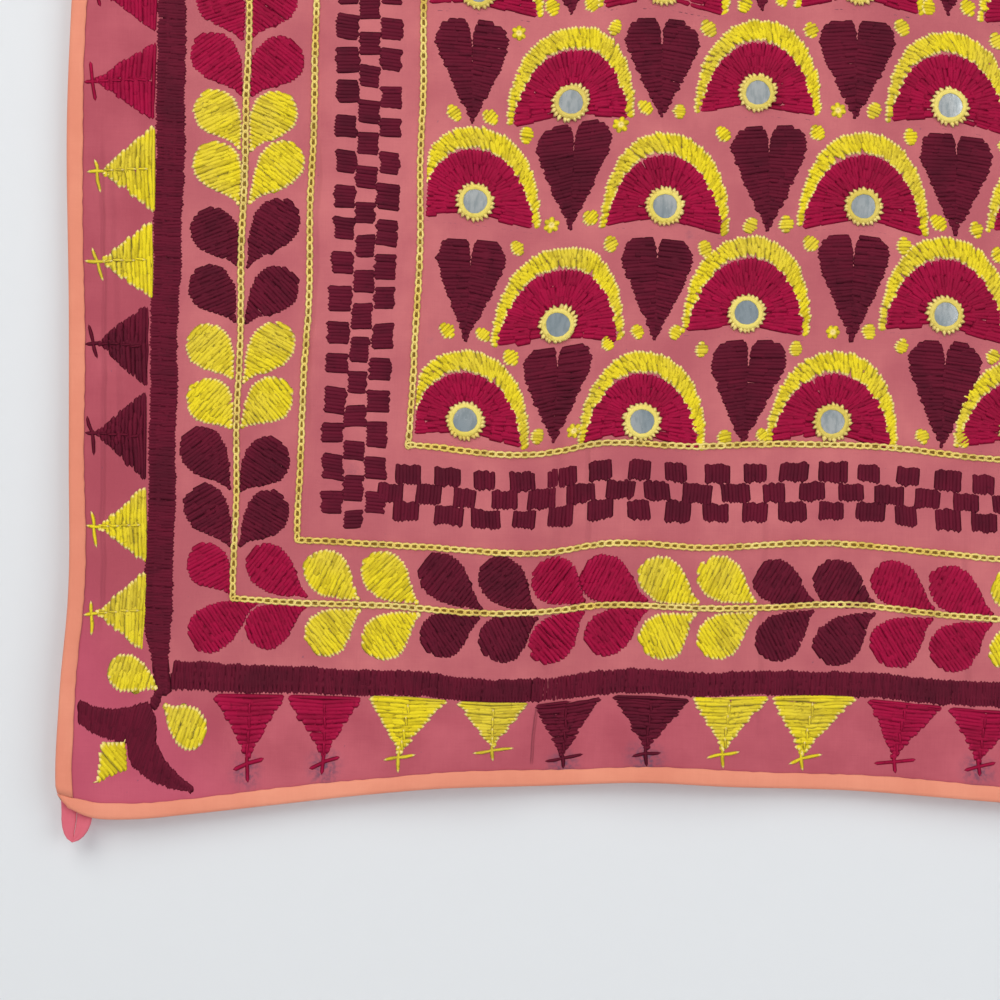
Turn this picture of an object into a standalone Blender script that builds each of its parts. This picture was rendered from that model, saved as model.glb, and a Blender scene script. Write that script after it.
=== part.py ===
"""Mirror-work wall hanging: a square embroidered cloth with a bound edge, corner loops and round mirrors.

Metres, +Z up. The cloth hangs in the XZ plane with its worked face towards -Y. The origin is the middle
of its top edge. A place on the flat cloth is given as (across, up), measured from the cut edge at the
lower left, and hang() says where that place hangs.
"""
import math

import bmesh
import bpy
import numpy as np
from mathutils import Vector

# ---- the flat cloth ------------------------------------------------------------------------------
WIDTH = 0.777                  # cut cloth, left to right
HEIGHT = 0.774                 # cut cloth, bottom to top
CLOTH = 0.0014                 # cotton with the thread that runs behind it
GAP = 0.0003                   # between pieces that touch
FOLDED_STRIP = 0.0009          # binding cloth with its turned-in edge
SLOT_OVERRUN = 0.003           # the cutter for the binding's slot runs on this far
BINDING_WIDTH = 0.0080         # what shows of the binding, from the outer fold to its stitched edge
SHOULDER = 0.0007              # the fold's rounding
WRAP = GAP + FOLDED_STRIP      # how far the binding stands beyond the cut edge
STITCHED = BINDING_WIDTH - WRAP    # the binding's stitched edge, from the cut edge
SEAM = STITCHED + GAP          # the upright strips end here, at the corner seams
CORNER_ACROSS = 0.020          # each corner is a quarter of an ellipse this wide
CORNER_UP = 0.012              # and this high

# ---- raised lines of thread, by their distance from the cut edge ----------------------------------
# name            side borders  end borders  width   height  rises within
RAISED_LINES = [
    ("satin band",  0.0462,      0.0524,      0.0140, 0.0007, 0.0015),
    ("outer chain", 0.1175,      0.1215,      0.0044, 0.0009, 0.0022),
    ("inner chain", 0.1718,      0.1715,      0.0044, 0.0009, 0.0022),
]
SIDE_COLUMN, END_COLUMN = 1, 2

# ---- round mirrors -------------------------------------------------------------------------------
MIRROR_RADIUS = 0.0083
MIRROR_THICKNESS = 0.0010
MIRROR_SIDES = 14
MIRROR_SEAT = 0.0005           # between a mirror's back and the highest cloth under it
UNDER_MIRROR = (0.5, 1.1)      # the cloth under a mirror is felt on rings of these shares of its radius
# first across  spacing  height   each mirror's own place, right of it and above it, in millimetres
MIRROR_ROWS = [
    (0.1975,    0.0925,  0.1848,  ((1.9, 2.1), (-2.2, -2.7), (0.3, -2.0), (1.0, 0.8), (-1.5, 1.2))),
    (0.2430,    0.0966,  0.2376,  ((-0.2, -2.7), (-2.9, 0.7), (0.0, 2.8), (0.6, -0.8))),
    (0.2002,    0.0955,  0.2929,  ((-1.2, 3.3), (-1.8, -2.8), (1.7, -2.3), (0.5, 1.0), (-1.0, -0.6))),
    (0.2445,    0.0950,  0.3465,  ((1.1, -0.8), (-0.7, 1.6), (0.4, -1.9), (-1.3, 0.9))),
    (0.1985,    0.0945,  0.4005,  ((0.6, 1.2), (-1.4, -0.5), (1.8, 0.3), (-0.2, -1.7), (0.9, 1.1))),
    (0.2440,    0.0955,  0.4550,  ((-1.0, 0.4), (1.5, -1.2), (-0.6, 1.8), (0.8, -0.3))),
    (0.1990,    0.0945,  0.5090,  ((0.9, -1.5), (-0.4, 0.8), (-1.9, -0.6), (1.2, 1.4), (0.1, -0.9))),
    (0.2455,    0.0950,  0.5630,  ((-0.8, 1.0), (1.3, -1.1), (-0.2, 0.7), (-1.6, 0.2))),
]

# ---- how it hangs: each table's rows are places along the cloth -----------------------------------
# across   the hem hangs this much lower
HEM_DROP = [
    (0.000, 0.0155), (0.010, 0.0168), (0.022, 0.0181), (0.038, 0.0179),
    (0.065, 0.0150), (0.110, 0.0092), (0.155, 0.0032), (0.185, -0.0002), (0.245, -0.0029),
    (0.288, -0.0056), (0.335, -0.0042), (0.400, -0.0034), (0.440, -0.0012), (0.480, 0.0012),
    (0.540, 0.0030), (0.610, -0.0005), (0.670, 0.0000), (0.725, 0.0060), (0.757, 0.0105),
    (0.777, 0.0100),
]
# across   the rows of work sag this much
ROW_DROP = [
    (0.000, 0.0000), (0.085, -0.0010), (0.165, 0.0015), (0.243, 0.0030), (0.266, -0.0015),
    (0.320, -0.0010), (0.390, -0.0035), (0.467, 0.0015), (0.540, 0.0020), (0.620, -0.0015),
    (0.700, 0.0010), (0.777, 0.0000),
]
# up       the left edge leans to the right by
LEFT_LEAN = [
    (0.000, -0.0005), (0.018, -0.0013), (0.040, -0.0004), (0.092, 0.0030), (0.160, 0.0016),
    (0.235, -0.0003), (0.325, -0.0033), (0.430, -0.0010), (0.560, 0.0015), (0.680, -0.0010),
    (0.774, 0.0000),
]
# up       the lines of the middle lean to the right by
MIDDLE_LEAN = [
    (0.000, 0.0000), (0.120, -0.0020), (0.170, -0.0022), (0.250, 0.0005), (0.330, 0.0015),
    (0.450, 0.0000), (0.600, -0.0015), (0.774, 0.0000),
]
# up       the right edge leans to the right by
RIGHT_LEAN = [
    (0.000, 0.0015), (0.060, -0.0005), (0.180, -0.0022), (0.320, 0.0012), (0.480, -0.0012),
    (0.640, 0.0010), (0.774, 0.0000),
]
# across   the hem stands this much off the wall side, towards the front
HEM_BILLOW = [
    (0.000, 0.0060), (0.060, 0.0015), (0.130, 0.0000), (0.205, 0.0035), (0.243, 0.0000),
    (0.285, 0.0040), (0.370, 0.0000), (0.460, 0.0030), (0.550, -0.0005), (0.640, 0.0035),
    (0.710, 0.0005), (0.777, 0.0055),
]
# Soft folds and creases: a ridge has a positive height, a trough a negative one.
# name                  foot across, up  head across, up  half width  height
FOLDS = [
    ("left edge roll",     0.022, 0.150,    0.014, 0.760,    0.013,      0.0026),
    ("left inner hollow",  0.060, 0.330,    0.058, 0.700,    0.020,     -0.0014),
    ("middle crease",      0.2435, 0.030,   0.2475, 0.205,   0.010,     -0.0026),
    ("beside the crease",  0.262, 0.040,    0.266, 0.190,    0.014,      0.0014),
    ("low right swell",    0.420, 0.020,    0.408, 0.160,    0.030,      0.0018),
    ("packing crease",     0.520, 0.030,    0.517, 0.740,    0.012,     -0.0014),
    ("right edge roll",    0.757, 0.120,    0.762, 0.700,    0.014,      0.0022),
    ("high left swell",    0.300, 0.560,    0.330, 0.740,    0.035,      0.0016),
]
HEM_DEPTH = 0.052              # the hem's drop is spread over the cloth from the binding to here
BILLOW_HEIGHT = 0.300          # the hem's billows die out up to here
HELD_DEPTH = 0.080             # the top is held straight over this depth
EDGE_REACH = 0.125             # an edge's lean dies out this far into the cloth

# ---- corner loops --------------------------------------------------------------------------------
LOOP_HALF_WIDTH = 0.0077       # two turns of strip side by side
LOOP_LENGTH = 0.0140           # beyond the binding's fold
LOOP_ROOT = 0.0055             # sewn down behind the binding
LOOP_THICKNESS = 0.0018
LOOP_SLIT = 0.0007             # between the two turns of a loop pressed flat
LOOP_EYE = 0.0058              # between them where the loop stands open for a nail
LEAN_CURVE = 1.5               # a loop leans more and more towards its tip
# share of the length: half of the breadth, half of the slit, as shares of the largest
LOOP_OUTLINE = [
    (0.00, 1.00), (0.30, 0.95), (0.55, 0.82), (0.75, 0.63), (0.90, 0.38), (1.00, 0.14),
]
SLIT_OUTLINE = [
    (0.02, 0.84), (0.22, 1.00), (0.50, 1.00), (0.66, 0.62), (0.80, 0.16),
]
# name          middle across, end  tip leans  slit
LOOPS = [
    ("low_left",  0.0085, "bottom", -0.0020,   LOOP_SLIT),
    ("low_right", 0.7690, "bottom",  0.0014,   LOOP_SLIT),
    ("top_left",  0.0110, "top",     0.0000,   LOOP_EYE),
    ("top_right", 0.7660, "top",     0.0000,   LOOP_EYE),
]

# ---- colours -------------------------------------------------------------------------------------
ROSE = (0.58, 0.16, 0.17)
PEACH = (0.86, 0.38, 0.24)
BRIGHT_PINK = (0.75, 0.19, 0.26)
SILVER = (0.62, 0.66, 0.68)


def along(rows, where):
    """Read the smooth curve through a table's (place, value) rows."""
    places, values = np.array(rows, float).T
    slopes = np.gradient(values, places)
    where = np.clip(where, places[0], places[-1])
    row = np.clip(np.searchsorted(places, where) - 1, 0, len(places) - 2)
    span = places[row + 1] - places[row]
    t = (where - places[row]) / span
    start = values[row] * (1 + 2 * t) + slopes[row] * span * t
    end = values[row + 1] * (3 - 2 * t) - slopes[row + 1] * span * (1 - t)
    return start * (1 - t) ** 2 + end * t ** 2


def ease(start, end, where):
    """Go smoothly from 0 at start to 1 at end."""
    t = np.clip((where - start) / (end - start), 0.0, 1.0)
    return t * t * (3 - 2 * t)


def fold_height(fold, across, up):
    """One soft ridge or trough that runs from its foot to its head and fades at both ends."""
    foot, foot_up, head, head_up, half_width, height = fold[1:]
    share = np.clip((up - foot_up) / (head_up - foot_up), 0.0, 1.0)
    off_line = (across - foot - (head - foot) * share) / half_width
    ends = ease(foot_up - half_width, foot_up + 2 * half_width, up)
    ends = ends * (1 - ease(head_up - 2 * half_width, head_up + half_width, up))
    return height * ends * np.exp(-off_line ** 2)


def depth(across, up):
    """How far the middle of the cloth stands towards the front at a place of the flat cloth."""
    swell = along(HEM_BILLOW, across) * (1 - ease(0.0, BILLOW_HEIGHT, up))
    return swell + sum(fold_height(fold, across, up) for fold in FOLDS)


def round_corners(across, up):
    """Move a place of the square cloth to where it lies once the four corners are rounded."""
    side = np.clip(1 - np.minimum(across, WIDTH - across) / CORNER_ACROSS, 0.0, 1.0)
    end = np.clip(1 - np.minimum(up, HEIGHT - up) / CORNER_UP, 0.0, 1.0)
    inward = CORNER_ACROSS * side * (1 - np.sqrt(1 - end * end / 2))
    onward = CORNER_UP * end * (1 - np.sqrt(1 - side * side / 2))
    return across + inward * np.sign(WIDTH / 2 - across), up + onward * np.sign(HEIGHT / 2 - up)


def hang(across, up, lift=0.0):
    """Where a place of the flat cloth hangs, lifted off the cloth's middle towards the front."""
    return drape(*round_corners(across, up), lift)


def drape(across, up, lift):
    """Hang a place that may also lie beyond the cut edges."""
    near_hem = np.clip((HEM_DEPTH - up) / (HEM_DEPTH - SEAM), 0.0, 1.0)
    held = ease(HEIGHT, HEIGHT - HELD_DEPTH, up)
    drop = along(HEM_DROP, across) * near_hem + along(ROW_DROP, across) * (1 - near_hem) * held
    to_left = 1 - ease(0.0, EDGE_REACH, across)
    to_right = ease(WIDTH - EDGE_REACH, WIDTH, across)
    lean = along(LEFT_LEAN, up) * to_left + along(RIGHT_LEAN, up) * to_right
    lean = lean + along(MIDDLE_LEAN, up) * (1 - to_left - to_right)
    x = across - WIDTH / 2 + lean
    z = up - HEIGHT - WRAP - drop
    return Vector((float(x), float(-depth(across, up) - lift), float(z)))


def cloth_lines(length, column, between):
    """Every grid line of the cloth in one direction: its edges, the raised lines' feet and tops, the rest."""
    places = [0.0, length] + between
    for line in RAISED_LINES:
        half, rises_within = line[3] / 2, line[5]
        for step in {-half, rises_within - half, half - rises_within, half}:
            places += [line[column] + step, length - line[column] - step]
    return sorted(places)


def raised(across, up):
    """The height of the thread lines above the plain cloth: each is a square frame round the cloth."""
    height = 0.0
    for _, side, end, width, rise, rises_within in RAISED_LINES:
        from_line = min(min(across, WIDTH - across) - side, min(up, HEIGHT - up) - end)
        inside = width / 2 - abs(from_line)
        height = max(height, rise * min(max(inside / rises_within, 0.0), 1.0))
    return height


# Grid lines between the raised lines, closer together at the hem, the edges and the creases.
ACROSS_LINES = cloth_lines(WIDTH, SIDE_COLUMN, [
    SEAM, 0.013, 0.020, 0.029, 0.065, 0.090, 0.145, 0.205, 0.232, 0.245, 0.258, 0.275, 0.310, 0.350,
    0.390, 0.430, 0.470, 0.503, 0.520, 0.537, 0.570, 0.632, 0.687, 0.712, 0.748, 0.757, 0.764,
    WIDTH - SEAM])
UP_LINES = cloth_lines(HEIGHT, END_COLUMN, [
    SEAM, 0.012, 0.026, 0.092, 0.146, 0.205, 0.240, 0.280, 0.325, 0.375, 0.430, 0.485, 0.535, 0.570,
    0.628, 0.682, 0.748, 0.762, HEIGHT - SEAM])


def add_piece(name, mesh, paint):
    """Put a mesh into the scene as one named piece with its material."""
    mesh.materials.append(paint)
    piece = bpy.data.objects.new(name, mesh)
    bpy.context.scene.collection.objects.link(piece)
    return piece


def finish_bmesh(bm, name):
    """Turn the faces outwards and write the mesh."""
    bmesh.ops.recalc_face_normals(bm, faces=bm.faces)
    mesh = bpy.data.meshes.new(name)
    bm.to_mesh(mesh)
    bm.free()
    return mesh


def material(name, colour, roughness, metallic=0.0):
    """A Principled material."""
    paint = bpy.data.materials.new(name)
    paint.use_nodes = True
    shader = paint.node_tree.nodes["Principled BSDF"]
    shader.inputs["Base Color"].default_value = (*colour, 1.0)
    shader.inputs["Roughness"].default_value = roughness
    shader.inputs["Metallic"].default_value = metallic
    return paint


def ground_cloth(paint):
    """The panel: a grid hung in its folds, given its thickness, with the thread lines raised."""
    bm = bmesh.new()
    columns, rows = len(ACROSS_LINES), len(UP_LINES)
    bmesh.ops.create_grid(bm, x_segments=columns - 1, y_segments=rows - 1, size=0.5)
    places = {}
    for vert in bm.verts:
        column = round((vert.co.x + 0.5) * (columns - 1))
        row = round((vert.co.y + 0.5) * (rows - 1))
        places[vert.index] = (ACROSS_LINES[column], UP_LINES[row])
    back = list(bm.verts)
    whole = bmesh.ops.extrude_face_region(bm, geom=bm.faces[:])
    front = [item for item in whole["geom"] if isinstance(item, bmesh.types.BMVert)]
    for back_vert, front_vert in zip(back, matching(back, front)):
        across, up = places[back_vert.index]
        back_vert.co = hang(across, up, -CLOTH / 2)
        front_vert.co = hang(across, up, CLOTH / 2 + raised(across, up))
    return add_piece("ground_cloth", finish_bmesh(bm, "ground_cloth"), paint)


def matching(first, second):
    """The verts of the second list that lie at the places of the first."""
    by_place = {tuple(round(part, 5) for part in vert.co): vert for vert in second}
    return [by_place[tuple(round(part, 5) for part in vert.co)] for vert in first]


def loft(bm, rings):
    """Join rings of points into a bar. A ring's second half is its front half mirrored to the back."""
    loops = [[bm.verts.new(point) for point in ring] for ring in rings]
    for ring, following in zip(loops, loops[1:]):
        for k in range(len(ring)):
            after = (k + 1) % len(ring)
            bm.faces.new((ring[k], ring[after], following[after], following[k]))
    for ring in (loops[0], loops[-1]):
        for k in range(len(ring) // 2 - 1):
            bm.faces.new((ring[k], ring[k + 1], ring[-2 - k], ring[-1 - k]))


def edge_place(side, where, inward):
    """A place of the flat cloth by its distance along one side and inward from that cut edge."""
    if side == "left":
        return inward, where
    if side == "right":
        return WIDTH - inward, where
    if side == "bottom":
        return where, inward
    return where, HEIGHT - inward


def strip_solid(name, side, stations, section):
    """A solid that follows one side of the cloth, with one section of (inward, lift) points."""
    bm = bmesh.new()
    rings = []
    for where in stations:
        rings.append([hang(*edge_place(side, where, inward), lift) for inward, lift in section])
    loft(bm, rings)
    return finish_bmesh(bm, name)


def binding(side, paint):
    """A folded strip over one cut edge: a rounded bar that follows the edge, slotted for the cloth."""
    if side in ("left", "right"):
        stations = [up for up in UP_LINES if SEAM <= up <= HEIGHT - SEAM]
        slot_stations = [SEAM - SLOT_OVERRUN] + stations + [HEIGHT - SEAM + SLOT_OVERRUN]
    else:
        inner = [across for across in ACROSS_LINES if 0.0 < across < WIDTH]
        stations = [-WRAP, 0.0] + inner + [WIDTH, WIDTH + WRAP]
        slot_stations = [-GAP, 0.0] + inner + [WIDTH, WIDTH + GAP]
    out = CLOTH / 2 + WRAP
    half = [(STITCHED, out), (0.0, out), (-WRAP, out - SHOULDER)]
    section = half + [(inward, -lift) for inward, lift in reversed(half)]
    slot_out = CLOTH / 2 + GAP
    half_slot = [(SEAM + SLOT_OVERRUN, slot_out), (SEAM, slot_out), (-GAP, slot_out)]
    slot = half_slot + [(inward, -lift) for inward, lift in reversed(half_slot)]
    name = "binding_" + side
    bar = add_piece(name, strip_solid(name, side, stations, section), paint)
    cutter_mesh = strip_solid(name + "_slot", side, slot_stations, slot)
    cutter = bpy.data.objects.new(name + "_slot", cutter_mesh)
    bpy.context.scene.collection.objects.link(cutter)
    cutter.hide_render = True
    cutter.display_type = "WIRE"
    cut = bar.modifiers.new("cloth slot", "BOOLEAN")
    cut.operation = "DIFFERENCE"
    cut.object = cutter
    return bar


def mirror_disc(name, across, up, paint):
    """A round mirror that lies on the cloth's face, turned the way the cloth leans there."""
    reach = MIRROR_RADIUS
    centre = hang(across, up, CLOTH / 2)
    right = (hang(across + reach, up, CLOTH / 2) - hang(across - reach, up, CLOTH / 2)).normalized()
    above = (hang(across, up + reach, CLOTH / 2) - hang(across, up - reach, CLOTH / 2)).normalized()
    outward = right.cross(above).normalized()
    highest = 0.0
    for step in range(MIRROR_SIDES):
        angle = 2 * math.pi * step / MIRROR_SIDES
        for share in UNDER_MIRROR:
            place = (across + reach * share * math.cos(angle), up + reach * share * math.sin(angle))
            highest = max(highest, (hang(*place, CLOTH / 2) - centre).dot(outward))
    bm = bmesh.new()
    bmesh.ops.create_cone(bm, cap_ends=True, segments=MIRROR_SIDES, radius1=MIRROR_RADIUS,
                          radius2=MIRROR_RADIUS, depth=MIRROR_THICKNESS)
    turn = Vector((0.0, 0.0, 1.0)).rotation_difference(outward).to_matrix()
    bmesh.ops.rotate(bm, verts=bm.verts, matrix=turn)
    rise = highest + MIRROR_SEAT + MIRROR_THICKNESS / 2
    bmesh.ops.translate(bm, verts=bm.verts, vec=centre + outward * rise)
    return add_piece(name, finish_bmesh(bm, name), paint)


def corner_loop(name, middle, end, lean, slit, paint):
    """A strip turned back on itself and sewn behind the binding: two turns that meet at the tip."""
    half = LOOP_HALF_WIDTH + (slit - LOOP_SLIT) / 3    # an open eye spreads the loop by this part
    behind = CLOTH / 2 + WRAP + GAP
    length = LOOP_LENGTH + WRAP

    def place(share, breadth, lift):
        """A point of the loop by its share of the way to the tip; a root has a share under 0."""
        reach = length * share if share > 0 else LOOP_ROOT * share
        across = middle + breadth + lean * max(share, 0.0) ** LEAN_CURVE
        return drape(across, HEIGHT + reach if end == "top" else -reach, lift)

    outside = [(-1.0, half)] + [(share, half * part) for share, part in LOOP_OUTLINE]
    inside = [(-1.0, LOOP_SLIT / 2)] + [(share, slit / 2 * part) for share, part in SLIT_OUTLINE]
    ring = outside + [(share, -breadth) for share, breadth in reversed(outside)]
    ring += [(share, -breadth) for share, breadth in inside]
    ring += list(reversed(inside))
    bm = bmesh.new()
    face = bm.faces.new([bm.verts.new(place(*point, -behind)) for point in ring])
    thick = bmesh.ops.extrude_face_region(bm, geom=[face])
    moved = [item for item in thick["geom"] if isinstance(item, bmesh.types.BMVert)]
    bmesh.ops.translate(bm, verts=moved, vec=(0.0, LOOP_THICKNESS, 0.0))
    bmesh.ops.triangulate(bm, faces=bm.faces)
    return add_piece("corner_loop_" + name, finish_bmesh(bm, "corner_loop_" + name), paint)


def main():
    """Build every piece of the hanging."""
    for item in list(bpy.data.objects):
        bpy.data.objects.remove(item, do_unlink=True)
    ground_cloth(material("ground", ROSE, 0.85))
    peach = material("binding", PEACH, 0.75)
    for side in ("left", "right", "bottom", "top"):
        binding(side, peach)
    pink = material("loop", BRIGHT_PINK, 0.8)
    for name, middle, end, lean, slit in LOOPS:
        corner_loop(name, middle, end, lean, slit, pink)
    silver = material("mirror", SILVER, 0.08, metallic=0.95)
    number = 0
    for first, spacing, height, own_places in MIRROR_ROWS:
        for step, (right, above) in enumerate(own_places):
            number += 1
            across, up = first + spacing * step + right / 1000, height + above / 1000
            mirror_disc(f"mirror_{number:02d}", across, up, silver)


main()
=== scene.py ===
# %% [markdown]
# # A mirror work wall hanging
#
# The real thing is one square of rose pink cotton. Its face is covered with floss: arches round small
# mirrors, hearts, dots, a checkered border, a vine of leaves, triangles, and three lines of chain stitch.
# A peach strip binds the edge, and a loop of pink strip is sewn behind each corner.
#
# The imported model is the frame: it has the cloth's true folds, its binding, its loops and its mirrors.
# This lesson dresses that frame. Cloth becomes a finer sheet on the same folds, and every stitch becomes
# a small strand of its own.

# %% Load the frame
import math

import bmesh
import bpy
import numpy as np
from mathutils import Matrix, Vector


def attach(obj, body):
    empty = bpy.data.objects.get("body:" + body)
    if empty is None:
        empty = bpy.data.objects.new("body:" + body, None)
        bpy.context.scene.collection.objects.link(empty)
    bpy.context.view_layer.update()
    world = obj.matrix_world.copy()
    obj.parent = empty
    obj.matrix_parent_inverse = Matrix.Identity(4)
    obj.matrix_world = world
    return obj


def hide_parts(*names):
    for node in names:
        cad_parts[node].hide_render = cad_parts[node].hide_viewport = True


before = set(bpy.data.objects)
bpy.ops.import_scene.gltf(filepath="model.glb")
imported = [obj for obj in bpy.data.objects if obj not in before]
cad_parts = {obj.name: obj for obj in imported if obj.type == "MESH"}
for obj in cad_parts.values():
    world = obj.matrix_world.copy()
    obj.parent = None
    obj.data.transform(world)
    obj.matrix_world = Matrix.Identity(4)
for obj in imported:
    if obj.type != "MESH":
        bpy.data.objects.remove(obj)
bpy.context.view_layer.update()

studio = bpy.context.scene

# %% [markdown]
# ## Camera, light and backdrop
#
# The hanging is looked at straight on, at its lower left part, from a little over a metre away. The
# camera is a hair off level, so the rows drop to the right. The object hangs on a pale wall. The wall is
# a plane that shows only from its front, so that a camera behind it still sees the back of the cloth.

# %% Camera
VIEW_CENTRE = (-0.1727, -0.6314)   # right, up
VIEW_WIDTH = 0.500
LENS = 85.0
SENSOR = 36.0
CAMERA_ROLL = -1.2                 # degrees

camera_data = bpy.data.cameras.new("camera")
camera_data.lens = LENS
camera_data.sensor_width = SENSOR
camera = bpy.data.objects.new("camera", camera_data)
studio.collection.objects.link(camera)
camera.location = (VIEW_CENTRE[0], -VIEW_WIDTH * LENS / SENSOR, VIEW_CENTRE[1])
camera.rotation_euler = (math.radians(90), math.radians(CAMERA_ROLL), 0.0)
studio.camera = camera
print("the camera stands", round(-camera.location.y, 3), "m from the cloth")

# %% Light
MIDDLE_OF_CLOTH = Vector((-0.1, 0.0, -0.5))
# name, place, size, watts, colour
LIGHTS = [
    ("key", (-1.1, -1.7, 0.8), 1.8, 34.0, (1.0, 0.985, 0.96)),
    ("fill", (1.3, -1.7, -0.3), 1.6, 16.0, (0.96, 0.98, 1.0)),
    ("behind", (0.9, 2.0, 0.4), 1.8, 20.0, (1.0, 1.0, 1.0)),
]
for name, place, size, watts, tint in LIGHTS:
    lamp = bpy.data.lights.new(name, "AREA")
    lamp.size, lamp.energy, lamp.color = size, watts, tint
    light = bpy.data.objects.new(name, lamp)
    light.location = place
    light.rotation_euler = (MIDDLE_OF_CLOTH - Vector(place)).to_track_quat("-Z", "Y").to_euler()
    light.visible_camera = False
    studio.collection.objects.link(light)
world = bpy.data.worlds.new("studio")
world.use_nodes = True
daylight = world.node_tree.nodes["Background"].inputs
daylight["Color"].default_value = (0.96, 0.975, 1.0, 1.0)
daylight["Strength"].default_value = 0.42
studio.world = world
studio.view_settings.view_transform = "Standard"
print("lights:", [name for name, *_ in LIGHTS])

# %% [markdown]
# ## How the cloth hangs
#
# A place on the flat cloth is (across, up), in metres from the cut edge at the lower left. The frame was
# hung by the tables below, and the same tables are repeated here, so that each stitch can be laid out on
# the flat cloth, as an embroiderer does, and then hung in the same folds.

# %% The flat cloth
WIDTH, HEIGHT = 0.777, 0.774
CLOTH = 0.0014
GAP = 0.0003
FOLDED_STRIP = 0.0009
BINDING_WIDTH = 0.0080
WRAP = GAP + FOLDED_STRIP
STITCHED = BINDING_WIDTH - WRAP
SEAM = STITCHED + GAP
CORNER_ACROSS, CORNER_UP = 0.020, 0.012
HEM_DEPTH, BILLOW_HEIGHT, HELD_DEPTH, EDGE_REACH = 0.052, 0.300, 0.080, 0.125
print("the cloth is", WIDTH, "by", HEIGHT, "m and its strips are sewn", round(1000 * STITCHED, 1), "mm in")

# %% The tables of its folds, in millimetres
# across, how much lower the hem hangs
HEM_DROP = [
    (0, 15.5), (10, 16.8), (22, 18.1), (38, 17.9), (65, 15), (110, 9.2), (155, 3.2), (185, -0.2),
    (245, -2.9), (288, -5.6), (335, -4.2), (400, -3.4), (440, -1.2), (480, 1.2), (540, 3), (610, -0.5),
    (670, 0), (725, 6), (757, 10.5), (777, 10),
]
# across, how much the rows of work sag
ROW_DROP = [
    (0, 0), (85, -1), (165, 1.5), (243, 3), (266, -1.5), (320, -1), (390, -3.5), (467, 1.5), (540, 2),
    (620, -1.5), (700, 1), (777, 0),
]
# up, how far the left edge, the middle's lines and the right edge lean to the right
LEFT_LEAN = [
    (0, -0.5), (18, -1.3), (40, -0.4), (92, 3), (160, 1.6), (235, -0.3), (325, -3.3), (430, -1),
    (560, 1.5), (680, -1), (774, 0),
]
MIDDLE_LEAN = [
    (0, 0), (120, -2), (170, -2.2), (250, 0.5), (330, 1.5), (450, 0), (600, -1.5), (774, 0),
]
RIGHT_LEAN = [
    (0, 1.5), (60, -0.5), (180, -2.2), (320, 1.2), (480, -1.2), (640, 1), (774, 0),
]
# across, how far the hem stands off the wall side, towards the front
HEM_BILLOW = [
    (0, 6), (60, 1.5), (130, 0), (205, 3.5), (243, 0), (285, 4), (370, 0), (460, 3), (550, -0.5),
    (640, 3.5), (710, 0.5), (777, 5.5),
]
# name, foot across, up, head across, up, half width, height
FOLDS = [
    ("left edge roll", 22, 150, 14, 760, 13, 2.6),
    ("left inner hollow", 60, 330, 58, 700, 20, -1.4),
    ("middle crease", 243.5, 30, 247.5, 205, 10, -2.6),
    ("beside the crease", 262, 40, 266, 190, 14, 1.4),
    ("low right swell", 420, 20, 408, 160, 30, 1.8),
    ("packing crease", 520, 30, 517, 740, 12, -1.4),
    ("right edge roll", 757, 120, 762, 700, 14, 2.2),
    ("high left swell", 300, 560, 330, 740, 35, 1.6),
]
# small creases, pressed into the cloth alone, as fine as its grid shows
CREASES = [
    ("bottom margin nick", 234.5, 12, 238.5, 46, 2.2, -0.6),
    ("left margin fold", 15.5, 60, 16.5, 330, 4.5, -0.7),
    ("left margin ridge", 22.5, 110, 23, 330, 4, 0.5),
    ("vine crease", 242.5, 60, 245.5, 126, 8.5, -0.4),
    ("border crease", 261, 120, 260, 178, 7, -0.4),
]
print(len(FOLDS), "long folds and", len(CREASES), "creases")

# %% From the flat cloth to the hanging one
def pair(*parts):
    """Arrays side by side, as the coordinates of places."""
    return np.stack(parts, axis=-1)


def along(rows, where):
    """Read the smooth curve through a table's (place, value) rows, in metres."""
    places, values = np.array(rows).T / 1000
    slopes = np.gradient(values, places)
    where = np.clip(where, places[0], places[-1])
    row = np.clip(np.searchsorted(places, where) - 1, 0, len(places) - 2)
    span = places[row + 1] - places[row]
    t = (where - places[row]) / span
    start = values[row] * (1 + 2 * t) + slopes[row] * span * t
    end = values[row + 1] * (3 - 2 * t) - slopes[row + 1] * span * (1 - t)
    return start * (1 - t) ** 2 + end * t ** 2


def ease(start, end, where):
    """Go smoothly from 0 at start to 1 at end."""
    t = np.clip((where - start) / (end - start), 0.0, 1.0)
    return t * t * (3 - 2 * t)


def fold_height(fold, across, up):
    """One soft ridge or trough that runs from its foot to its head and fades at both ends."""
    foot, foot_up, head, head_up, half_width, height = np.array(fold[1:]) / 1000
    share = np.clip((up - foot_up) / (head_up - foot_up), 0.0, 1.0)
    off_line = (across - foot - (head - foot) * share) / half_width
    ends = ease(foot_up - half_width, foot_up + 2 * half_width, up)
    ends = ends * (1 - ease(head_up - 2 * half_width, head_up + half_width, up))
    return height * ends * np.exp(-off_line ** 2)


def puckers(across, up):
    """The stitches draw the cloth in a little, so its face is never quite even."""
    inside = ease(0.010, 0.030, np.minimum(np.minimum(across, WIDTH - across), np.minimum(up, HEIGHT - up)))
    waves = np.sin(across * 310 + 2.1 * np.sin(up * 97)) * np.sin(up * 283 + 1.7 * np.sin(across * 71))
    return 0.00012 * inside * waves


def depth(across, up):
    """How far the middle of the cloth stands towards the front at a place of the flat cloth."""
    swell = along(HEM_BILLOW, across) * (1 - ease(0.0, BILLOW_HEIGHT, up))
    folds = sum(fold_height(fold, across, up) for fold in FOLDS + CREASES)
    return swell + folds + puckers(across, up)


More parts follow.
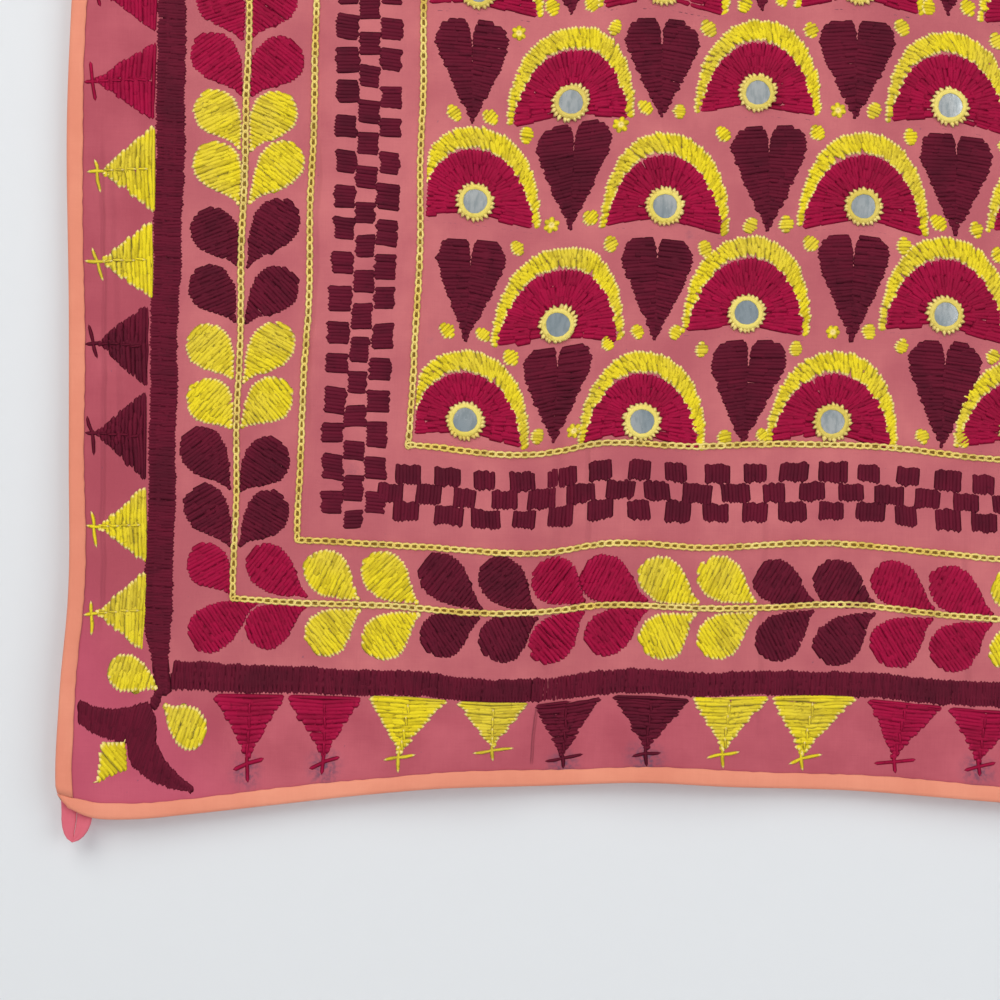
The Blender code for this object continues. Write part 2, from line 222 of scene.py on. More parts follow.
def round_corners(across, up):
    """Move a place of the square cloth to where it lies once the four corners are rounded."""
    side = np.clip(1 - np.minimum(across, WIDTH - across) / CORNER_ACROSS, 0.0, 1.0)
    end = np.clip(1 - np.minimum(up, HEIGHT - up) / CORNER_UP, 0.0, 1.0)
    inward = CORNER_ACROSS * side * (1 - np.sqrt(1 - end * end / 2))
    onward = CORNER_UP * end * (1 - np.sqrt(1 - side * side / 2))
    return across + inward * np.sign(WIDTH / 2 - across), up + onward * np.sign(HEIGHT / 2 - up)


def drape(across, up, lift):
    """Hang places that may also lie beyond the cut edges: arrays in, an array of points out."""
    near_hem = np.clip((HEM_DEPTH - up) / (HEM_DEPTH - SEAM), 0.0, 1.0)
    held = ease(HEIGHT, HEIGHT - HELD_DEPTH, up)
    drop = along(HEM_DROP, across) * near_hem + along(ROW_DROP, across) * (1 - near_hem) * held
    to_left = 1 - ease(0.0, EDGE_REACH, across)
    to_right = ease(WIDTH - EDGE_REACH, WIDTH, across)
    lean = along(LEFT_LEAN, up) * to_left + along(RIGHT_LEAN, up) * to_right
    lean = lean + along(MIDDLE_LEAN, up) * (1 - to_left - to_right)
    x = across - WIDTH / 2 + lean
    z = up - HEIGHT - WRAP - drop
    return pair(x, -depth(across, up) - lift, z)


def hang(across, up, lift=0.0):
    """Where places of the flat cloth hang, lifted off the cloth's middle towards the front."""
    across, up, lift = np.broadcast_arrays(*[np.asarray(part, float) for part in (across, up, lift)])
    return drape(*round_corners(across, up), lift)


print("the lower left corner hangs at", hang(0.0, 0.0).round(4))

# %% [markdown]
# ## Finishes
#
# Two effects are used by several materials, so each is a shader node group. "cotton" is plain woven
# cloth: a fine weave, slubs and an uneven dye. "floss" is a stitch of soft, hardly twisted thread: fine
# fibres that run along it, its own tone, a painted highlight where its ends turn down into the cloth and
# painted shade low between two threads. The groups put out a colour and a height only. The shaders stay
# in the materials.

# %% Node helpers
def new_group(name, inputs, outputs):
    """An empty shader group, its wiring, what it is given and what it puts out.

    An input is (name, type, value) and an output is (name, type).
    """
    group = bpy.data.node_groups.new(name, "ShaderNodeTree")
    for label, kind, value in inputs:
        socket = group.interface.new_socket(name=label, in_out="INPUT", socket_type=kind)
        socket.default_value = value
    for label, kind in outputs:
        group.interface.new_socket(name=label, in_out="OUTPUT", socket_type=kind)
    given, out = group.nodes.new("NodeGroupInput"), group.nodes.new("NodeGroupOutput")
    return group, Wiring(group), given.outputs, out.inputs


class Wiring:
    """Short ways to add nodes to one tree and join them."""

    def __init__(self, tree):
        self.tree = tree

    def feed(self, socket, value):
        """Give a socket a link or a plain value."""
        if isinstance(value, bpy.types.NodeSocket):
            self.tree.links.new(value, socket)
        else:
            socket.default_value = value

    def node(self, kind, settings=None, **inputs):
        """Add a node with its settings and its inputs, whose names have _ for a space."""
        made = self.tree.nodes.new(kind)
        for label, value in (settings or {}).items():
            setattr(made, label, value)
        for label, value in inputs.items():
            self.feed(made.inputs[label.replace("_", " ")], value)
        return made

    def math(self, operation, *values):
        """One step of arithmetic."""
        made = self.node("ShaderNodeMath", {"operation": operation})
        for socket, value in zip(made.inputs, values):
            self.feed(socket, value)
        return made.outputs[0]

    def times(self, *values):
        return self.math("MULTIPLY", *values)

    def plus(self, *values):
        return self.math("ADD", *values)

    def minus(self, *values):
        return self.math("SUBTRACT", *values)

    def between(self, value, low, high, to_low=0.0, to_high=1.0):
        """Map a value smoothly from one range to another."""
        made = self.node("ShaderNodeMapRange", {"interpolation_type": "SMOOTHSTEP"}, Value=value)
        for label, number in zip(("From Min", "From Max", "To Min", "To Max"), (low, high, to_low, to_high)):
            made.inputs[label].default_value = number
        return made.outputs[0]

    def mix(self, factor, first, second):
        """Mix two colours, which are the mix node's inputs 6 and 7."""
        made = self.node("ShaderNodeMix", {"data_type": "RGBA"})
        for number, value in ((0, factor), (6, first), (7, second)):
            self.feed(made.inputs[number], value)
        return made.outputs[2]

    def noise(self, vector, scale, detail=2.0, roughness=0.5):
        """A noise value from 0 to 1."""
        made = self.node("ShaderNodeTexNoise", None, Vector=vector, Scale=scale, Detail=detail,
                         Roughness=roughness)
        return made.outputs["Fac"]

    def split(self, vector):
        """The three parts of a vector, by name."""
        return self.node("ShaderNodeSeparateXYZ", None, Vector=vector).outputs

    def scaled(self, vector, x, y, z):
        """A vector stretched along its axes."""
        return self.node("ShaderNodeMapping", None, Vector=vector, Scale=(x, y, z)).outputs[0]


def colour(red, green, blue):
    """A colour as the eye reads it, 0 to 255, made linear for the shader."""
    parts = [part / 255 for part in (red, green, blue)]
    linear = [part / 12.92 if part <= 0.04045 else ((part + 0.055) / 1.055) ** 2.4 for part in parts]
    return (*linear, 1.0)


# %% The cotton group
WEAVE_PITCH = 0.00056

def cotton_group():
    """Plain weave with slubs and a dye that took unevenly."""
    group, w, given, out = new_group(
        "cotton",
        [("Light", "NodeSocketColor", (1, 1, 1, 1)), ("Deep", "NodeSocketColor", (0, 0, 0, 1)),
         ("Grain", "NodeSocketFloat", 1.0)],
        [("Colour", "NodeSocketColor"), ("Height", "NodeSocketFloat")])
    place = w.node("ShaderNodeTexCoord").outputs["Object"]
    threads = w.split(place)
    weave = w.times(*[w.math("SINE", w.times(threads[axis], 2 * math.pi / WEAVE_PITCH)) for axis in "XZ"])
    slub_weft = w.noise(w.scaled(place, 90, 90, 1300), 1.0, 3.0)
    slub_warp = w.noise(w.scaled(place, 1300, 90, 80), 1.0, 3.0)
    slubs = w.plus(slub_weft, slub_warp)
    blotch = w.noise(place, 26.0, 4.0, 0.55)
    cloud = w.noise(place, 7.0, 2.0, 0.5)
    tone = w.plus(w.times(blotch, 0.75), w.times(cloud, 0.45))
    tone = w.plus(tone, w.times(slubs, 0.08))
    dyed = w.mix(w.between(tone, 0.50, 0.98), given["Deep"], given["Light"])
    w.feed(out["Colour"], dyed)
    relief = w.plus(w.times(weave, 0.10), slubs)
    w.feed(out["Height"], w.times(relief, given["Grain"]))
    return group


COTTON = cotton_group()
print("cotton:", len(COTTON.nodes), "nodes")

# %% The floss group
def floss_group():
    """A stitch of soft thread, shaded by what its mesh says of each point.

    The mesh holds, for each point: how near it is to an end of its stitch, how high it stands, and the
    stitch's own tone. Near an end the colour gets a painted highlight, and low on the sides painted shade.
    Its UV map is in millimetres along and round the thread.
    """
    group, w, given, out = new_group(
        "floss",
        [("Thread", "NodeSocketColor", (1, 1, 1, 1)), ("Tip highlight", "NodeSocketColor", (1, 1, 1, 1)),
         ("Dark fibres and shade", "NodeSocketColor", (0, 0, 0, 1)), ("Faded", "NodeSocketColor", (1, 1, 1, 1)),
         ("Tip highlight strength", "NodeSocketFloat", 0.8)],
        [("Colour", "NodeSocketColor"), ("Height", "NodeSocketFloat")])
    said = w.node("ShaderNodeAttribute", {"attribute_name": "strand"}).outputs["Color"]
    said = w.node("ShaderNodeSeparateColor", None, Color=said)
    from_end, height, shade = (said.outputs[part] for part in ("Red", "Green", "Blue"))
    thread = w.split(w.node("ShaderNodeUVMap", {"uv_map": "thread"}).outputs[0])
    run = w.node("ShaderNodeCombineXYZ", None, X=w.times(thread["X"], 0.22), Y=w.times(thread["Y"], 5.5),
                 Z=w.times(shade, 71.0))
    fibres = w.noise(run.outputs[0], 1.0, 3.0, 0.6)
    place = w.node("ShaderNodeTexCoord").outputs["Object"]
    patch = w.noise(place, 33.0, 2.0)
    body = w.mix(w.between(patch, 0.38, 0.68), given["Thread"], given["Faded"])
    lightness = w.plus(w.times(shade, 0.36), w.times(fibres, 0.62))
    body = w.mix(w.between(lightness, 0.20, 0.60), w.mix(0.45, body, given["Dark fibres and shade"]), body)
    # painted highlight: a stitch's ends are paler, as where the thread turns down and catches the light
    tips = w.times(w.between(from_end, 0.46, 0.20), given["Tip highlight strength"])
    body = w.mix(tips, body, given["Tip highlight"])
    # small dark flecks of painted shade in the fill, away from the ends
    fleck = w.noise(w.scaled(place, 520, 520, 520), 1.0, 2.0, 0.6)
    inner = w.between(from_end, 0.20, 0.40)
    fleck = w.times(w.times(w.between(fleck, 0.60, 0.72), inner), 0.5)
    body = w.mix(fleck, body, given["Dark fibres and shade"])
    # painted shade low on a stitch's sides, between threads, stronger near its ends
    gap = w.plus(0.16, w.times(w.between(from_end, 0.45, 0.20), 0.70))
    low = w.times(w.between(height, 0.42, 0.02), gap)
    w.feed(out["Colour"], w.mix(low, body, given["Dark fibres and shade"]))
    w.feed(out["Height"], fibres)
    return group


FLOSS = floss_group()
print("floss:", len(FLOSS.nodes), "nodes")

# %% Materials from the groups
def blank_material(name, roughness, metallic=0.0, sheen=0.0, specular=0.5):
    """A Principled material with its constants set on the shader's own sockets."""
    paint = bpy.data.materials.new(name)
    paint.use_nodes = True
    shader = paint.node_tree.nodes["Principled BSDF"]
    for label, value in (("Roughness", roughness), ("Metallic", metallic), ("Sheen Weight", sheen),
                         ("Sheen Roughness", 0.4), ("Specular IOR Level", specular)):
        shader.inputs[label].default_value = value
    return paint, Wiring(paint.node_tree), shader


def finish_with(w, shader, group, bump, inputs, after=None):
    """Place a group in a material: its colour, changed by after() if given, and its height as a bump."""
    placed = w.node("ShaderNodeGroup", {"node_tree": group})
    for label, value in inputs.items():
        w.feed(placed.inputs[label], value)
    shown = placed.outputs["Colour"]
    w.feed(shader.inputs["Base Color"], after(shown) if after else shown)
    raised = w.node("ShaderNodeBump", None, Height=placed.outputs["Height"], Strength=1.0, Distance=bump)
    w.feed(shader.inputs["Normal"], raised.outputs[0])


def floss_material(name, colours, tip_highlight, roughness, sheen, specular=0.12, bump=0.00022):
    """Floss in one dye. Its colours: the thread, where it faded, a painted highlight for its ends, and a
    dark colour for darker fibres and painted shade low between threads.
    """
    paint, w, shader = blank_material(name, roughness, sheen=sheen, specular=specular)
    inputs = dict(zip(("Thread", "Faded", "Tip highlight", "Dark fibres and shade"), [colour(*part) for part in colours]))
    finish_with(w, shader, FLOSS, bump, {**inputs, "Tip highlight strength": tip_highlight})
    return paint


YELLOW = floss_material(
    "yellow floss", ((238, 215, 34), (228, 204, 58), (255, 230, 150), (132, 102, 12)), 0.9, 0.55, 0.08)
CHAIN_YELLOW = floss_material(
    "chain floss", ((250, 228, 138), (242, 212, 106), (252, 232, 160), (168, 124, 40)), 0.3, 0.6, 0.1)
RING_YELLOW = floss_material(
    "ring floss", ((238, 218, 116), (228, 206, 92), (246, 222, 144), (176, 140, 44)), 0.8, 0.5, 0.15)
PLUM = floss_material("plum floss", ((102, 18, 42), (86, 16, 36), (112, 26, 50), (64, 9, 27)), 0.5, 0.7, 0.0)
CRIMSON = floss_material(
    "crimson floss", ((164, 8, 60), (150, 10, 54), (184, 26, 76), (108, 5, 36)), 0.6, 0.65, 0.0)
# the low threads in the chain's holes: coloured as painted shade, the shadow inside each link
CHAIN_SHADOW = floss_material(
    "chain shadow", ((150, 116, 44), (136, 98, 40), (150, 116, 44), (120, 80, 44)), 0.2, 0.8, 0.0,
    specular=0.1, bump=0.0001)
print("floss in", [paint.name for paint in (YELLOW, CHAIN_YELLOW, RING_YELLOW, PLUM, CRIMSON)])

# %% [markdown]
# ## The ground cloth
#
# One panel of hand dyed cotton. A grid of squares, finer where the cloth is looked at closely, is hung in
# the folds, and Solidify gives it the cloth's thickness. Its UV map is the flat cloth itself, so marks
# and dye follow the cloth and not the room.

# %% Grids
def spread(length, fine_until, fine, coarse):
    """Grid lines along one side: close together at first, wider beyond."""
    near = np.linspace(0.0, fine_until, round(fine_until / fine) + 1)
    far = np.linspace(fine_until, length, round((length - fine_until) / coarse) + 1)
    return np.concatenate([near, far[1:]])


def add_piece(name, mesh, paint):
    """Put a finished mesh into the scene as one piece of the hanging."""
    mesh.polygons.foreach_set("use_smooth", np.ones(len(mesh.polygons), bool))
    mesh.materials.append(paint)
    piece = bpy.data.objects.new(name, mesh)
    studio.collection.objects.link(piece)
    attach(piece, "root")
    return piece


def finished(name, mesh):
    """The mesh that was made step by step, under its name."""
    made = bpy.data.meshes.new(name)
    mesh.to_mesh(made)
    mesh.free()
    return made


def grid_mesh(name, columns, rows, place, closed=False):
    """A grid moved by place(column numbers, row numbers), and those numbers. closed makes a capped tube."""
    last = rows if closed else rows - 1
    mesh = bmesh.new()
    bmesh.ops.create_grid(mesh, x_segments=columns - 1, y_segments=last, size=1.0)
    spots = np.array([vert.co for vert in mesh.verts])
    column = np.rint((spots[:, 0] + 1) / 2 * (columns - 1)).astype(int)
    row = np.rint((spots[:, 1] + 1) / 2 * last).astype(int) % rows
    for vert, point in zip(mesh.verts, place(column, row)):
        vert.co = point
    if closed:
        bmesh.ops.remove_doubles(mesh, verts=mesh.verts[:], dist=1e-7)
        bmesh.ops.holes_fill(mesh, edges=mesh.edges[:], sides=0)
        bmesh.ops.recalc_face_normals(mesh, faces=mesh.faces[:])
    return finished(name, mesh), column, row


# %% The dye and the marks on it
# Spots on the flat cloth, in millimetres: across, up, radius, strength
SPOTS = [
    (131, 14, 13, 1.0), (250, 9, 13, 0.9), (291, 11, 15, 1.0), (457, 14, 13, 0.9), (92, 15, 11, 0.9),
    (144, 158, 5, 0.35), (307, 277, 4, 0.35), (214, 228, 3, 0.30), (345, 262, 3, 0.30),
    (180, 225, 3, 0.25), (262, 178, 4, 0.22), (420, 120, 3, 0.25), (64, 300, 4, 0.22),
]

def flat_group(name, output):
    """A group that puts out one value for a place of the flat cloth."""
    group, w, given, out = new_group(name, [("Flat", "NodeSocketVector", (0, 0, 0))],
                                     [(output, "NodeSocketFloat")])
    return group, w, given["Flat"], out[output]


def spots_group():
    """Grey smudges: each is a soft uneven round spot."""
    group, w, flat, out = flat_group("smudges", "Mask")
    ragged = w.noise(flat, 160.0, 4.0, 0.7)
    total = 0.0
    for across, up, radius, strength in SPOTS:
        away = w.node("ShaderNodeVectorMath", {"operation": "DISTANCE"}, Vector=flat)
        away.inputs[1].default_value = (across / 1000, up / 1000, 0.0)
        reach = w.times(away.outputs["Value"], w.plus(ragged, 0.55))
        total = w.plus(total, w.between(reach, 0.0, radius / 1000, strength, 0.0))
    speckled = w.between(w.noise(flat, 380.0, 3.0, 0.6), 0.40, 0.62, 0.25, 1.0)
    w.feed(out, w.times(total, speckled))
    return group


# Pressed creases, too fine for the sheet's grid: foot across, up, head across, up, half width, depth
PRESSED = [
    (243.0, 50, 247.0, 215, 5.0, 0.45), (234.5, 8, 238.5, 46, 1.1, 0.9), (262.0, 118, 260.5, 178, 2.0, 0.5),
    (15.5, 60, 17.0, 330, 1.8, 0.6), (26.0, 150, 21.0, 320, 2.4, 0.4), (455.0, 20, 449.0, 130, 2.6, 0.5),
    (120.0, 168, 121.0, 330, 2.0, 0.5), (347.0, 20, 351.0, 170, 2.2, 0.4), (517.0, 20, 519.0, 740, 2.4, 0.6),
]

def creases_group():
    """How deep the pressed creases lie at a place of the flat cloth, from 0 to 1."""
    group, w, flat, out = flat_group("pressed creases", "Depth")
    split = w.split(flat)
    waver = w.times(w.minus(w.noise(flat, 22.0), 0.5), 0.006)
    across, up = w.plus(split["X"], waver), split["Y"]
    total = 0.0
    for foot, foot_up, head, head_up, half_width, deep in PRESSED:
        share = w.math("DIVIDE", w.minus(up, foot_up / 1000), (head_up - foot_up) / 1000)
        line = w.plus(w.times(share, (head - foot) / 1000), foot / 1000)
        away = w.math("ABSOLUTE", w.minus(across, line))
        ends = w.times(w.between(share, 0.0, 0.12), w.between(share, 1.0, 0.88))
        total = w.plus(total, w.times(w.between(away, half_width / 1000, 0.0, 0.0, deep), ends))
    w.feed(out, total)
    return group


def ground_material():
    """Rose pink cotton: rosier at the margin, warmer in the field, with smudges and specks."""
    paint, w, shader = blank_material("rose cotton", 0.82, sheen=0.12, specular=0.25)
    flat = w.node("ShaderNodeUVMap", {"uv_map": "flat"}).outputs[0]
    place = w.split(flat)
    across, up = place["X"], place["Y"]
    side = w.math("MINIMUM", across, w.minus(WIDTH, across))
    end = w.math("MINIMUM", up, w.minus(HEIGHT, up))
    inward = w.math("MINIMUM", side, end)
    margin = w.between(inward, 0.034, 0.060)
    corner = w.between(w.plus(side, end), 0.060, 0.130)
    # light and deep dye: at the rim, in its corners and in the field
    dyes = (((200, 92, 112), (196, 96, 108), (206, 115, 117)),
            ((184, 78, 100), (170, 74, 88), (180, 90, 99)))
    light, deep = (w.mix(margin, w.mix(corner, colour(*rim), colour(*nook)), colour(*field))
                   for rim, nook, field in dyes)
    smudges = w.node("ShaderNodeGroup", {"node_tree": spots_group()}, Flat=flat).outputs["Mask"]
    specks = w.between(w.noise(flat, 420.0, 2.0, 0.4), 0.755, 0.80, 0.0, 0.5)
    marks = w.math("MINIMUM", w.plus(smudges, specks), 0.85)
    creased = w.node("ShaderNodeGroup", {"node_tree": creases_group()}, Flat=flat).outputs["Depth"]
    # painted shade in the pressed creases: the cloth's colour darkens along them
    shaded = w.times(creased, 0.30)

    def marked_and_crease_shaded(shown):
        return w.mix(shaded, w.mix(marks, shown, colour(100, 72, 92)), colour(120, 44, 60))

    finish_with(w, shader, COTTON, 0.00012, {"Light": light, "Deep": deep, "Grain": 0.5}, after=marked_and_crease_shaded)
    pressed = w.node("ShaderNodeBump", None, Height=w.minus(1.0, creased), Strength=1.0,
                     Distance=0.0009)
    w.feed(shader.inputs["Normal"].links[0].from_node.inputs["Normal"], pressed.outputs[0])
    return paint


print(len(SPOTS), "smudges and", len(PRESSED), "pressed creases")

# %% Ground cloth
ACROSS = spread(WIDTH, 0.480, 0.0034, 0.0066)
UP = spread(HEIGHT, 0.336, 0.0033, 0.0068)
SHEET_GAP = 0.00002        # the sheet stays this far inside the solid's two faces

def ground_cloth():
    """The panel, hung in its folds."""
    mesh, column, row = grid_mesh("ground cloth", len(ACROSS), len(UP),
                                  lambda column, row: hang(ACROSS[column], UP[row], CLOTH / 2 - SHEET_GAP))
    corners = np.zeros(len(mesh.loops), int)
    mesh.loops.foreach_get("vertex_index", corners)
    mesh.uv_layers.new(name="flat").data.foreach_set("uv", pair(ACROSS[column], UP[row])[corners].ravel())
    piece = add_piece("ground_cloth_hung", mesh, ground_material())
    thickness = piece.modifiers.new("thickness", "SOLIDIFY")
    thickness.thickness = CLOTH - 2 * SHEET_GAP
    thickness.offset = -1.0
    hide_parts("ground_cloth")
    return piece


ground = ground_cloth()
print("ground cloth:", len(ground.data.polygons) * 4, "triangles with both faces")

# %% [markdown]
# ## Binding and loops
#
# The binding is a peach strip folded over the raw edge and stitched through, so it has a soft round
# fold, a slightly wavy inner edge and small dents where the hidden stitches pull. The loops are strips
# folded flat, bent into a U and sewn behind it.

# %% Strip materials
def strip_material(name, light, deep, grain):
    """Folded cotton strip."""
    paint, w, shader = blank_material(name, 0.8, sheen=0.15, specular=0.25)
    finish_with(w, shader, COTTON, 0.00010, {"Light": light, "Deep": deep, "Grain": grain})
    return paint


PEACH = strip_material("peach strip", colour(238, 154, 126), colour(224, 136, 110), 0.8)
LOOP_PINK = strip_material("bright pink strip", colour(230, 118, 134), colour(210, 96, 112), 0.8)
print("strips in", PEACH.name, "and", LOOP_PINK.name)

# %% Binding
STRIP_OUT = CLOTH / 2 + WRAP
# inward, lift: the front half of the strip's outside, from its stitched edge to the fold
STRIP_FRONT = [
    (STITCHED, CLOTH / 2 + 0.0003), (STITCHED - 0.0001, STRIP_OUT - 0.0005),
    (STITCHED - 0.0009, STRIP_OUT - 0.0001), (STITCHED - 0.0034, STRIP_OUT), (0.0008, STRIP_OUT),
    (-WRAP * 0.62, STRIP_OUT - 0.0003), (-WRAP, STRIP_OUT - 0.0011),
]
STRIP_INSIDE = [(-GAP, -CLOTH / 2 - 0.0003), (-GAP, CLOTH / 2 + 0.0003)]
STRIP = STRIP_FRONT + [(inward, -lift) for inward, lift in reversed(STRIP_FRONT)] + STRIP_INSIDE
STRIP_STEP = 0.0036

def binding(side):
    """A folded strip along one edge of the cloth."""
    upright = side in ("left", "right")
    start, end = (SEAM, HEIGHT - SEAM) if upright else (-WRAP, WIDTH + WRAP)
    stations = np.linspace(start, end, round((end - start) / STRIP_STEP) + 1)
    section = np.array(STRIP)

    def place(column, row):
        run = stations[column]
        inward, lift = section[row].T
        stitches = np.sin(run * 520 + 2.0 * np.sin(run * 130))
        inward = inward + (0.00018 * stitches + 0.0003 * np.sin(run * 61 + 1.0)) * (inward > STITCHED / 2)
        flat_part = (inward > 0.0015) & (inward < STITCHED - 0.0002)
        lift = lift - np.sign(lift) * flat_part * 0.00013 * (1 + stitches)
        inward = {"right": WIDTH - inward, "top": HEIGHT - inward}.get(side, inward)
        return hang(inward, run, lift) if upright else hang(run, inward, lift)

    mesh, *_ = grid_mesh("binding " + side, len(stations), len(section), place, closed=True)
    piece = add_piece("binding_" + side + "_strip", mesh, PEACH)
    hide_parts("binding_" + side)
    return piece


bindings = [binding(side) for side in ("left", "right", "bottom", "top")]
print("bindings:", sum(len(piece.data.polygons) for piece in bindings), "faces")

# %% Corner loops
LOOP_HALF_WIDTH, LOOP_LENGTH, LOOP_ROOT, LOOP_THICKNESS = 0.0077, 0.0140, 0.0055, 0.0018
LOOP_SLIT, LOOP_EYE, LEAN_CURVE = 0.0007, 0.0058, 1.5
# share of the way to the tip, share of the half width
LOOP_OUTLINE = [(-1, 1), (0, 1), (0.30, 0.95), (0.55, 0.82), (0.75, 0.63), (0.90, 0.38), (1, 0)]
SLIT_OUTLINE = [(-1, 1), (0.02, 0.84), (0.22, 1), (0.50, 1), (0.66, 0.62), (0.75, 0.30), (0.83, 0)]
# name, middle across, end, lean, slit
LOOPS = [
    ("low_left", 0.0085, "bottom", -0.0020, LOOP_SLIT), ("low_right", 0.7690, "bottom", 0.0014, LOOP_SLIT),
    ("top_left", 0.0110, "top", 0.0000, LOOP_EYE), ("top_right", 0.7660, "top", 0.0000, LOOP_EYE),
]
# share of the way from the slit to the outer edge, lift as a share of half the thickness
LOOP_SECTION = [
    (0, 0), (0.03, 0.75), (0.15, 1), (0.42, 0.92), (0.52, 0.62), (0.62, 0.92), (0.85, 1), (0.97, 0.75),
    (1, 0), (0.97, -0.75), (0.85, -1), (0.50, -0.95), (0.15, -1), (0.03, -0.75),
]
LOOP_STEPS = 49

def corner_loop(name, middle, end, lean, slit):
    """A folded strip that turns back on itself, sewn behind the binding."""
    half = LOOP_HALF_WIDTH + (slit - LOOP_SLIT) / 3
    set_back = CLOTH / 2 + WRAP + GAP + LOOP_THICKNESS / 2
    turn = np.linspace(-1.0, 1.0, LOOP_STEPS)
    walk = (1 - np.abs(turn)) * 6
    outer, inner = (pair(*[np.interp(walk, range(7), part) for part in np.array(rows).T])
                    for rows in (LOOP_OUTLINE, SLIT_OUTLINE))
    section = np.array(LOOP_SECTION)

    def place(column, row):
        part, lift = section[row].T
        share = inner[column, 0] * (1 - part) + outer[column, 0] * part
        gap = slit / 2 if slit > LOOP_SLIT else 0.00008
        breadth = inner[column, 1] * gap * (1 - part) + outer[column, 1] * half * part
        breadth = breadth * np.sign(turn[column])
        reach = np.where(share > 0, (LOOP_LENGTH + WRAP) * share, LOOP_ROOT * share)
        across = middle + breadth + lean * np.maximum(share, 0.0) ** LEAN_CURVE
        up = HEIGHT + reach if end == "top" else -reach
        return drape(across, up, lift * LOOP_THICKNESS / 2 - set_back)

    mesh, *_ = grid_mesh("corner loop " + name, LOOP_STEPS, len(section), place, closed=True)
    piece = add_piece("corner_loop_" + name + "_strip", mesh, LOOP_PINK)
    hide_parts("corner_loop_" + name)
    return piece


loops = [corner_loop(*row) for row in LOOPS]
print("loops:", [piece.name for piece in loops])

# %% [markdown]
# ## Mirrors
#
# Small round pieces of hand cut mirror, thin, a little dull and freckled where the silver has failed.
# Each lies on the cloth and is held only by the ring of thread round it.

# %% Mirror material
def mirror_material():
    """Old silvered glass: it reflects, with clouds and freckles, and a painted reflection that makes each
    mirror lighter or darker.
    """
    paint, w, shader = blank_material("old mirror", 0.16, metallic=1.0)
    place = w.node("ShaderNodeTexCoord").outputs["Object"]
    # painted reflection: each mirror's own brightness, as if it reflected a different part of the room
    own = w.between(w.noise(place, 31.0, 1.0), 0.36, 0.64)
    cloud = w.between(w.noise(w.scaled(place, 420, 420, 160), 1.0, 3.0), 0.40, 0.66)
    freckles = w.between(w.noise(place, 900.0, 2.0), 0.68, 0.76)
    body = w.mix(w.times(own, 0.8), colour(246, 250, 248), colour(190, 206, 214))
    body = w.mix(w.times(cloud, 0.45), body, colour(160, 178, 184))
    w.feed(shader.inputs["Base Color"], w.mix(w.times(freckles, 0.4), body, colour(110, 116, 108)))
    w.feed(shader.inputs["Roughness"], w.plus(0.14, w.times(freckles, 0.3)))
    return paint


# %% Mirrors in their rows
MIRROR_RADIUS, MIRROR_THICKNESS, MIRROR_SEAT = 0.0083, 0.0010, 0.0005
# first across, spacing, up, then each mirror's own place to the right and above, in millimetres
MIRROR_ROWS = [
    (0.1975, 0.0925, 0.1848, ((1.9, 2.1), (-2.2, -2.7), (0.3, -2.0), (1.0, 0.8), (-1.5, 1.2))),
    (0.2430, 0.0966, 0.2376, ((-0.2, -2.7), (-2.9, 0.7), (0.0, 2.8), (0.6, -0.8))),
    (0.2002, 0.0955, 0.2929, ((-1.2, 3.3), (-1.8, -2.8), (1.7, -2.3), (0.5, 1.0), (-1.0, -0.6))),
    (0.2445, 0.0950, 0.3465, ((1.1, -0.8), (-0.7, 1.6), (0.4, -1.9), (-1.3, 0.9))),
    (0.1985, 0.0945, 0.4005, ((0.6, 1.2), (-1.4, -0.5), (1.8, 0.3), (-0.2, -1.7), (0.9, 1.1))),
    (0.2440, 0.0955, 0.4550, ((-1.0, 0.4), (1.5, -1.2), (-0.6, 1.8), (0.8, -0.3))),
    (0.1990, 0.0945, 0.5090, ((0.9, -1.5), (-0.4, 0.8), (-1.9, -0.6), (1.2, 1.4), (0.1, -0.9))),
    (0.2455, 0.0950, 0.5630, ((-0.8, 1.0), (1.3, -1.1), (-0.2, 0.7), (-1.6, 0.2))),
]
mirror_places = [
    (across + number * spacing + right / 1000, up + above / 1000)
    for across, spacing, up, shifts in MIRROR_ROWS
    for number, (right, above) in enumerate(shifts)
]
MIRROR_EDGE = 36

def taken(mesh):
    """The points and faces of a shape that was drawn once."""
    points = np.array([vert.co for vert in mesh.verts])
    faces = [[vert.index for vert in face.verts] for face in mesh.faces]
    mesh.free()
    return points, faces


def unit_mirror():
    """One disc of radius and height 1, with a ground edge: its points and faces."""
    mesh = bmesh.new()
    bmesh.ops.create_cone(mesh, cap_ends=True, segments=MIRROR_EDGE, radius1=1.0, radius2=1.0, depth=1.0)
    rim = [edge for edge in mesh.edges if all(vert.co.z > 0 for vert in edge.verts)]
    bmesh.ops.bevel(mesh, geom=rim, offset=0.25, affect="EDGES", segments=2, profile=0.5, material=-1)
    return taken(mesh)


def mirror_seat(across, up):
    """Where a mirror lies: the cloth's middle point, its right, above and outward, and how far it clears."""
    reach = MIRROR_RADIUS
    centre = hang(across, up, CLOTH / 2)
    right = hang(across + reach, up, CLOTH / 2) - hang(across - reach, up, CLOTH / 2)
    above = hang(across, up + reach, CLOTH / 2) - hang(across, up - reach, CLOTH / 2)
    right /= np.linalg.norm(right)
    outward = np.cross(right, above / np.linalg.norm(above))
    outward /= np.linalg.norm(outward)
    rim = [hang(across + reach * math.cos(turn), up + reach * math.sin(turn), CLOTH / 2)
           for turn in np.linspace(0, 2 * math.pi, 14, endpoint=False)]
    highest = max(0.0, max(float((spot - centre) @ outward) for spot in rim))
    return centre, right, np.cross(outward, right), outward, highest


